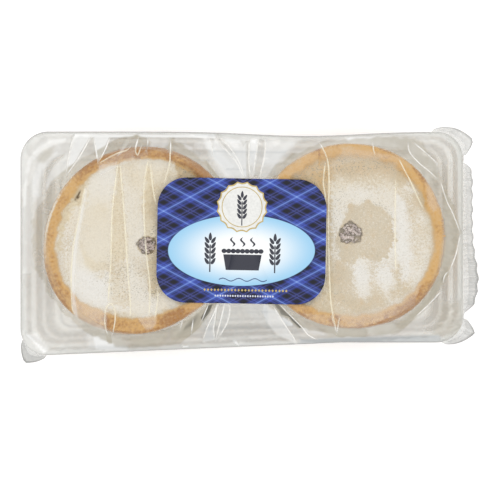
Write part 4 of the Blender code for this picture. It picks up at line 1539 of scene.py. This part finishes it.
def make_pie(name, pie, material):
    """One pie: straight crust wall, raised rim, sunken lid and a steam hole."""
    rings, outline, width, bumps = pie_rings(pie)
    x, y, z = (np.array([ring[axis] for ring in rings]) for axis in range(3))
    radius, turn = polar(x, y, pie["centre"])
    from_edge = outline[None, :] - radius
    hole_way = np.hypot(x - pie["hole"][0], (y - pie["hole"][1]) / pie["squash"]) - pie["hole_radius"]
    rim = smooth_step(width[None, :] + 2.6, width[None, :] - 1.4, from_edge)
    outer_wall = np.zeros(x.shape)
    outer_wall[-len(CRUST_WALL):] = 1.0
    z = z + 0.10 * bumps(x * 1.3, y * 1.3) * rim * (1.0 - outer_wall)
    tone = Waves(pie["seed"] + 5, 14.0, 60.0, 20)
    patch = Waves(pie["seed"] + 6, 3.0, 12.0, 30)
    bake = LID_BAKE + RIM_BAKE * rim + 0.05 * tone(x, y) * rim + 0.03 * patch(x, y)
    for facing_deg, spread_deg, more in pie["browner"]:
        bake = bake + more * rim * facing_share(turn, facing_deg, spread_deg)
    bake = bake + WALL_BAKE * outer_wall * (0.4 + 0.6 * smooth_step(30.0, 6.0, z))
    # The rim's outer edge: darker all round as browning and painted shade, and pale on one side as a painted
    # highlight, laid on with flour and less baking
    outer_edge = smooth_step(1.5, 0.5, from_edge) * (1.0 - outer_wall)
    lit_edge = facing_share(turn, *pie["lit_edge"])
    bake = bake + outer_edge * (EDGE_BROWNING_AND_SHADE + LIT_EDGE_BAKE * lit_edge)
    crumble = Waves(pie["seed"] + 7, 1.1, 3.2, 60)
    flour = LID_FLOUR - 0.05 * tone(x, y)
    wander = 0.6 * patch(x, y) + 0.25 * crumble(x, y)
    cream = np.full(x.shape, pie["cream"]) + 0.06 * tone(x + 20.0, y)
    for _, more_flour, more_bake, more_cream, softness, outline_px in LID_PATCHES[name]:
        share = inside_share(x + wander, y - wander, path_from_photo(outline_px, LID_LEVEL), softness)
        flour = flour + more_flour * share
        bake = bake + more_bake * share
        cream = cream + more_cream * share
    flour = flour * (1.0 - 0.9 * smooth_step(0.1, 0.9, rim)) + rim * (0.07 + 0.07 * crumble(x + 5.0, y))
    flour = flour + LIT_EDGE_FLOUR * outer_edge * lit_edge
    flour = np.where(rim < 0.05, flour + 0.06 * crumble(x, y), flour)
    flour = flour * (1.0 - outer_wall)
    flour = flour * (1.0 - smooth_step(0.8, -0.4, hole_way))
    specks = np.zeros(x.shape)
    for _, more, softness, outline_px in SPECKS[name]:
        share = inside_share(x, y, path_from_photo(outline_px, LID_LEVEL), softness)
        specks = np.maximum(specks, more * share)
    specks = specks * (1.0 - rim) * (1.0 - outer_wall)
    # Painted shade round the steam hole's edge
    crack = smooth_step(0.6, -0.6, hole_way) * HOLE_EDGE_SHADE
    if name == "left":
        slit = split_share(x, y, crumble(x, y)) * (1.0 - outer_wall)
        z = z - SPLIT_DEPTH * slit
        # Painted shade in the split
        crack = np.maximum(crack, slit)
    z = np.minimum(z, film_height(x, y) - UNDER_FILM)
    faces = grid_quads(len(rings), PIE_ANGLES, wrap=True).tolist()
    last = (len(rings) - 1) * PIE_ANGLES
    faces.append(list(range(PIE_ANGLES))[::-1])
    faces.append([last + i for i in range(PIE_ANGLES)])
    values = {"bake": bake, "flour": flour, "crack": crack, "cream": cream, "specks": specks}
    values = {key: np.clip(data, 0.0, 1.0) for key, data in values.items()}
    piece = make_piece("pie_" + name, stacked(x, y, z), faces, material, values, sharp_deg=75.0)


FILLING_CRUMBS = 120
FILLING_DROP = 2.3


def make_filling(name, pie, material):
    """Crumbly mince in the steam hole."""
    rng = np.random.default_rng(pie["seed"] + 20)
    bm = bmesh.new()
    hx, hy = pie["hole"]
    level = LID_LEVEL + pie["lid"] + pie["fill"] - FILLING_DROP
    reach = pie["hole_radius"]
    for _ in range(FILLING_CRUMBS):
        turn = rng.uniform(0.0, 2.0 * math.pi)
        way = reach * math.sqrt(rng.uniform(0.0, 1.0)) * 0.92
        size = rng.uniform(0.38, 0.92)
        place = (hx + way * math.cos(turn), hy + way * pie["squash"] * math.sin(turn))
        made = bmesh.ops.create_icosphere(bm, subdivisions=2, radius=size * MM)
        lift = level - size * 0.4 + rng.uniform(-0.3, 0.5)
        squash = rng.uniform(0.6, 1.0, 3)
        for vert in made["verts"]:
            dent = 1.0 + 0.18 * math.sin(9.0e3 * vert.co.x + turn) * math.cos(7.0e3 * vert.co.y)
            vert.co.x = vert.co.x * squash[0] * dent + place[0] * MM
            vert.co.y = vert.co.y * squash[1] * dent + place[1] * MM
            vert.co.z = vert.co.z * squash[2] * dent + lift * MM
    mesh = bpy.data.meshes.new("filling_" + name)
    bm.to_mesh(mesh)
    bm.free()
    mesh.shade_smooth()
    add_piece("filling_" + name, mesh, material)


# The label

CHECK_PITCH = 12.5
CHECK_TURN_DEG = 28.0
CHECK_CROSSING = (1.0, 22.0)
PRINT_STEP = 0.6
PRINT_PASSES = 6
FIRST_PRINT_LIFT = 0.05
SECOND_PRINT_LIFT = 0.09
THIRD_PRINT_LIFT = 0.12
SEAL = (0.0, 17.0)
OVAL_CENTRE = (0.0, -4.7)
OVAL_HALF = (36.7, 17.7)

# One half of the check, from the middle of its pale line outward: where a band ends and its colour
CHECK_BANDS = [(0.090, (68, 90, 178)), (0.115, (36, 46, 104)), (0.185, (62, 80, 170)), (0.225, (40, 48, 112)),
               (0.390, (19, 21, 34)), (0.430, (40, 46, 104)), (0.500, (30, 35, 78))]
PALE_LINE_HALF = 0.025
THIN_LINE = (0.450, 0.013)


def make_check_group():
    """One set of check bands along a direction, the same on both sides of its pale line."""
    group = bpy.data.node_groups.new("Check bands", "ShaderNodeTree")
    start, end = add_sockets(
        group,
        [("Across", "NodeSocketFloat", 0.0), ("Pitch", "NodeSocketFloat", CHECK_PITCH * MM)],
        [("Color", "NodeSocketColor"), ("Line", "NodeSocketFloat"), ("Thin Line", "NodeSocketFloat")],
    )
    w = Wiring(group)
    cycle = w.math("DIVIDE", start.outputs["Across"], start.outputs["Pitch"])
    half = w.math("PINGPONG", cycle, 0.5)
    ramp = w.node("ShaderNodeValToRGB")
    ramp.color_ramp.interpolation = "CONSTANT"
    elements = ramp.color_ramp.elements
    elements[1].position = 1.0
    begin = 0.0
    for i, (stop, colour) in enumerate(CHECK_BANDS):
        element = elements[0] if i == 0 else elements.new(2.0 * begin)
        element.color = tint(*colour)
        begin = stop
    w.join(w.math("MULTIPLY", half, 2.0), ramp.inputs[0])
    line = w.spread(half, PALE_LINE_HALF + 0.008, PALE_LINE_HALF - 0.008)
    off_thin = w.math("ABSOLUTE", w.math("SUBTRACT", half, THIN_LINE[0]))
    thin = w.spread(off_thin, THIN_LINE[1] + 0.006, THIN_LINE[1] - 0.006)
    w.join(ramp.outputs[0], end.inputs["Color"])
    w.join(line, end.inputs["Line"])
    w.join(thin, end.inputs["Thin Line"])
    return group


def finish_label():
    """Printed paper: a blue check with a pale oval that lightens to its middle."""
    material, shader, w = new_material("Printed label", 0.46, Specular_IOR_Level=0.22)
    check = make_check_group()
    place = w.place()
    parts = w.node("ShaderNodeSeparateXYZ")
    w.join(place, parts.inputs[0])
    dx = w.math("SUBTRACT", parts.outputs[0], LABEL_CENTRE[0] * MM)
    dy = w.math("SUBTRACT", parts.outputs[1], LABEL_CENTRE[1] * MM)
    slope = math.radians(CHECK_TURN_DEG)
    cross_x = w.math("MULTIPLY", w.math("SUBTRACT", dx, CHECK_CROSSING[0] * MM), math.sin(slope))
    cross_y = w.math("MULTIPLY", w.math("SUBTRACT", dy, CHECK_CROSSING[1] * MM), math.cos(slope))
    falling = w.group(check, Across=w.math("ADD", cross_y, cross_x))
    rising = w.group(check, Across=w.math("SUBTRACT", cross_y, cross_x))
    twill = w.math("FRACT", w.math("MULTIPLY", w.math("ADD", parts.outputs[0], parts.outputs[1]), 1100.0))
    cloth = w.mix(w.spread(twill, 0.2, 0.8, 0.42, 0.58), falling["Color"], rising["Color"])
    lines = w.math("MAXIMUM", falling["Line"], rising["Line"])
    both = w.math("MULTIPLY", falling["Line"], rising["Line"])
    thin = w.math("MAXIMUM", falling["Thin Line"], rising["Thin Line"])
    cloth = w.mix(w.math("MULTIPLY", thin, 0.30), cloth, paint("thin check line"))
    cloth = w.mix(w.math("MULTIPLY", lines, 0.62), cloth, paint("check line"))
    cloth = w.mix(w.math("MULTIPLY", both, 0.6), cloth, paint("check crossing"))
    ox = w.math("DIVIDE", w.math("SUBTRACT", dx, OVAL_CENTRE[0] * MM), OVAL_HALF[0] * MM)
    oy = w.math("DIVIDE", w.math("SUBTRACT", dy, OVAL_CENTRE[1] * MM), OVAL_HALF[1] * MM)
    way = w.math("SQRT", w.math("ADD", w.math("MULTIPLY", ox, ox), w.math("MULTIPLY", oy, oy)))
    cloth = w.mix(w.spread(way, 1.06, 1.0, 0.0, 0.5), cloth, paint("oval edge"))
    sky = w.mix(w.spread(way, 0.28, 1.08), paint("oval middle"), paint("oval rim"))
    inside = w.spread(way, 1.006, 0.994)
    w.join(w.mix(inside, cloth, sky), shader.inputs["Base Color"])
    bump(w, shader, w.noise(place, 1400.0, 2.0), 0.05, 0.0003)
    return material


LABEL_UNDER = 0.50
LABEL_SHEET = 0.28
LABEL_GRID = (150, 110)
LABEL_CORNER_STEPS = 16


def on_label(u, v):
    """The pack's x and y of a place that is given from the label's middle."""
    turn = math.radians(LABEL_TURN_DEG)
    return (LABEL_CENTRE[0] + u * math.cos(turn) - v * math.sin(turn),
            LABEL_CENTRE[1] + u * math.sin(turn) + v * math.cos(turn))


def label_top(x, y):
    return film_height(x, y) + LABEL_UNDER + LABEL_SHEET


def make_label(material):
    """The label as one sheet that follows the film, with rounded corners."""
    left, right = -0.5 * LABEL_LENGTH, 0.5 * LABEL_LENGTH
    us = columns(left, right, LABEL_CORNER_RADIUS, LABEL_CORNER_STEPS, LABEL_GRID[0] - 2 * LABEL_CORNER_STEPS)
    top = 0.5 * LABEL_WIDTH - corner_inset(us, left, right, LABEL_CORNER_RADIUS)
    share = np.linspace(-1.0, 1.0, LABEL_GRID[1])[:, None]
    u = np.broadcast_to(us[None, :], (LABEL_GRID[1], len(us)))
    x, y = on_label(u, share * top[None, :])
    points = stacked(x, y, film_height(x, y) + LABEL_UNDER)
    piece = make_piece("label_sheet", points, grid_quads(LABEL_GRID[1], len(us)).tolist(), material)
    weld_sheet(piece, 0.01, LABEL_SHEET, 1.0)
    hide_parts("label")


INK_THIN = 0.9


def finish_ink(name):
    """A printed ink, a little uneven."""
    material, shader, w = new_material(name.capitalize(), 0.4, Specular_IOR_Level=0.4)
    colour = paint(name)
    tone = w.noise(w.place(), 900.0, 2.0)
    darker = (*(INK_THIN * c for c in colour[:3]), 1.0)
    w.join(w.mix(w.spread(tone, 0.3, 0.7), colour, darker), shader.inputs["Base Color"])
    return material


def make_print(name, shapes, material, lift=FIRST_PRINT_LIFT):
    """Flat printed shapes laid on the label: each is an outline in the label's own plane."""
    bm = bmesh.new()
    for outline in shapes:
        verts = []
        for u, v in outline:
            x, y = on_label(u, v)
            verts.append(bm.verts.new((x * MM, y * MM, 0.0)))
        face = bm.faces.new(verts)
        face.normal_update()
        if face.normal.z < 0.0:
            face.normal_flip()
    bmesh.ops.triangulate(bm, faces=bm.faces)
    for _ in range(PRINT_PASSES):
        long_edges = [edge for edge in bm.edges if edge.calc_length() > PRINT_STEP * MM]
        if not long_edges:
            break
        bmesh.ops.subdivide_edges(bm, edges=long_edges, cuts=1)
        bmesh.ops.triangulate(bm, faces=[face for face in bm.faces if len(face.verts) > 3])
    for vert in bm.verts:
        vert.co.z = (float(label_top(vert.co.x / MM, vert.co.y / MM)) + lift) * MM
    mesh = bpy.data.meshes.new(name)
    bm.to_mesh(mesh)
    bm.free()
    add_piece(name, mesh, material)


def ellipse(cx, cy, rx, ry, count=28, start=0.0, end=360.0):
    turns = np.radians(np.linspace(start, end, count, endpoint=end - start < 360.0))
    return [(cx + rx * math.cos(t), cy + ry * math.sin(t)) for t in turns]


def bar(x0, y0, x1, y1):
    return [(x0, y0), (x1, y0), (x1, y1), (x0, y1)]


def leaf(cx, cy, length, width, turn_deg):
    """A grain of wheat: a pointed oval set at an angle."""
    turn = math.radians(turn_deg)
    made = []
    for i in range(12):
        t = 2.0 * math.pi * i / 12
        u = 0.5 * length * math.cos(t)
        v = 0.5 * width * math.sin(t) * (1.0 - 0.35 * math.cos(t))
        made.append((cx + u * math.cos(turn) - v * math.sin(turn),
                     cy + u * math.sin(turn) + v * math.cos(turn)))
    return made


def wheat_ear(cx, cy, scale):
    """A stalk with pairs of grains and one at its tip."""
    shapes = [bar(cx - 0.25 * scale, cy - 7.0 * scale, cx + 0.25 * scale, cy + 4.0 * scale)]
    for i in range(5):
        level = cy + (-2.6 + 2.1 * i) * scale
        for hand in (-1.0, 1.0):
            shapes.append(leaf(cx + hand * 1.35 * scale, level, 3.0 * scale, 1.25 * scale,
                               90.0 - hand * 34.0))
    shapes.append(leaf(cx, cy + 7.2 * scale, 3.2 * scale, 1.3 * scale, 90.0))
    return shapes


def pie_sign(cx, cy):
    """A plain pie seen from the side: a wall that narrows downward, a crimped rim and curls of steam."""
    shapes = [[(cx - 9.6, cy + 0.6), (cx - 8.2, cy - 7.2), (cx + 8.2, cy - 7.2), (cx + 9.6, cy + 0.6)]]
    for i in range(9):
        shapes.append(ellipse(cx - 9.2 + 2.3 * i, cy + 2.3, 1.3, 1.15, 14))
    for offset in (-5.0, 0.0, 5.0):
        left, right = [], []
        for i in range(11):
            t = i / 10.0
            sway = 0.9 * math.sin(2.0 * math.pi * t)
            thick = 0.6 * math.sin(math.pi * (0.12 + 0.8 * t))
            left.append((cx + offset + sway - thick, cy + 4.6 + 4.6 * t))
            right.append((cx + offset + sway + thick, cy + 4.6 + 4.6 * t))
        shapes.append(left + right[::-1])
    return shapes


def wavy_rule(cx, cy, length, height, thickness, count=48):
    """A thin rule that waves up and down."""
    top, bottom = [], []
    for i in range(count + 1):
        t = i / count
        level = cy + height * math.sin(6.0 * math.pi * t)
        top.append((cx + length * (t - 0.5), level + 0.5 * thickness))
        bottom.append((cx + length * (t - 0.5), level - 0.5 * thickness))
    return [[bottom[i], bottom[i + 1], top[i + 1], top[i]] for i in range(count)]


def seal(cx, cy, radius, scallops, depth):
    """A round seal with a scalloped edge."""
    made = []
    for i in range(scallops * 8):
        t = 2.0 * math.pi * i / (scallops * 8)
        reach = radius - depth * abs(math.cos(0.5 * scallops * t))
        made.append((cx + reach * math.cos(t), cy + reach * math.sin(t)))
    return made


def ring_band(cx, cy, outer, inner, count=40):
    """A flat ring as quads."""
    shapes = []
    for i in range(count):
        a, b = 2.0 * math.pi * i / count, 2.0 * math.pi * (i + 1) / count
        shapes.append([(cx + r * math.cos(t), cy + r * math.sin(t)) for r, t in
                       ((outer, a), (outer, b), (inner, b), (inner, a))])
    return shapes


def make_label_print():
    """The label's signs, all plain ones: wheat, a steaming pie, a seal, a wave and rows of dots."""
    tones = ("navy", "gold", "white", "cream", "blue")
    navy, gold, white, cream, blue = (finish_ink(tone + " ink") for tone in tones)
    signs = pie_sign(0.6, -7.4) + wheat_ear(-15.6, -7.0, 1.25) + wheat_ear(16.8, -7.0, 1.25)
    make_print("label_signs", signs, navy)
    make_print("label_wave", wavy_rule(1.0, -19.4, 24.0, 0.7, 0.45), blue)
    make_print("label_seal_edge", [seal(*SEAL, 12.9, 16, 0.9)], gold)
    make_print("label_seal", [seal(*SEAL, 12.2, 16, 0.9)], cream, SECOND_PRINT_LIFT)
    make_print("label_seal_ring", ring_band(*SEAL, 10.2, 9.8), gold, THIRD_PRINT_LIFT)
    make_print("label_seal_sign", wheat_ear(SEAL[0], SEAL[1] - 1.6, 1.1), navy, THIRD_PRINT_LIFT)
    diamond = ((-18.6, -24.6), (-18.0, -25.3), (-17.4, -24.6), (-18.0, -23.9))
    diamonds = [[(u + 1.7 * i, v) for u, v in diamond] for i in range(25)]
    make_print("label_diamonds", diamonds, gold)
    beads = [ellipse(-12.6 + 1.25 * i, -27.5, 0.42, 0.5, 10) for i in range(24)]
    make_print("label_beads", beads, white)


# Light, floor and camera

FLOOR_SIZE = 4.0
FLOOR_GLOW = 0.19
WORLD_STRENGTH = 0.68
WHITE = (1.0, 1.0, 1.0, 1.0)


def make_stage():
    bpy.ops.mesh.primitive_plane_add(size=FLOOR_SIZE, location=(0.0, 0.0, 0.0))
    floor = bpy.context.object
    floor.name = "floor"
    material, shader, w = new_material("Pale floor", 0.9, Specular_IOR_Level=0.1)
    tone = w.spread(w.noise(w.place(), 3.0, 2.0), 0.3, 0.7)
    w.join(w.mix(tone, paint("floor"), paint("pale floor")), shader.inputs["Base Color"])
    shader.inputs["Emission Color"].default_value = WHITE
    shader.inputs["Emission Strength"].default_value = FLOOR_GLOW
    floor.data.materials.append(material)


def add_light(name, place, size, power):
    """A soft rectangular light that shines down, tilted outward from the middle of the floor."""
    light = bpy.data.lights.new(name, "AREA")
    light.shape = "RECTANGLE"
    light.size, light.size_y = size
    light.energy = power
    lamp = bpy.data.objects.new(name, light)
    lamp.location = place
    yaw = math.atan2(-place[1], -place[0])
    pitch = math.atan2(math.hypot(place[0], place[1]), place[2])
    lamp.rotation_euler = (0.0, pitch, yaw)
    bpy.context.scene.collection.objects.link(lamp)


def make_camera():
    data = bpy.data.cameras.new("camera")
    data.sensor_width = SENSOR_MM
    view_width = MM_PER_PX * 2.0 * PHOTO_MIDDLE
    data.lens = SENSOR_MM * (CAMERA_HEIGHT - RIM_HEIGHT) / view_width
    data.clip_start = 0.01
    camera = bpy.data.objects.new("camera", data)
    camera.location = (0.0, CAMERA_Y * MM, CAMERA_HEIGHT * MM)
    bpy.context.scene.collection.objects.link(camera)
    bpy.context.scene.camera = camera


def light_scene():
    world = bpy.data.worlds.new("studio")
    world.use_nodes = True
    background = world.node_tree.nodes["Background"]
    background.inputs["Color"].default_value = WHITE
    background.inputs["Strength"].default_value = WORLD_STRENGTH
    bpy.context.scene.world = world
    add_light("overhead", (0.05, 0.12, 1.5), (1.5, 1.5), 12.0)
    add_light("side", (-1.2, 0.7, 0.8), (0.9, 0.6), 4.0)
    scene = bpy.context.scene
    scene.view_settings.view_transform = "Standard"
    scene.cycles.transparent_max_bounces = 32
    scene.cycles.max_bounces = 14


make_camera()
light_scene()
make_stage()
make_tray(finish_tray())
make_film(finish_film())
make_creases(finish_crease())
crust = finish_crust()
filling = finish_filling()
for side_name, side_pie in PIES.items():
    make_pie(side_name, side_pie, crust)
    make_filling(side_name, side_pie, filling)
make_label(finish_label())
make_label_print()
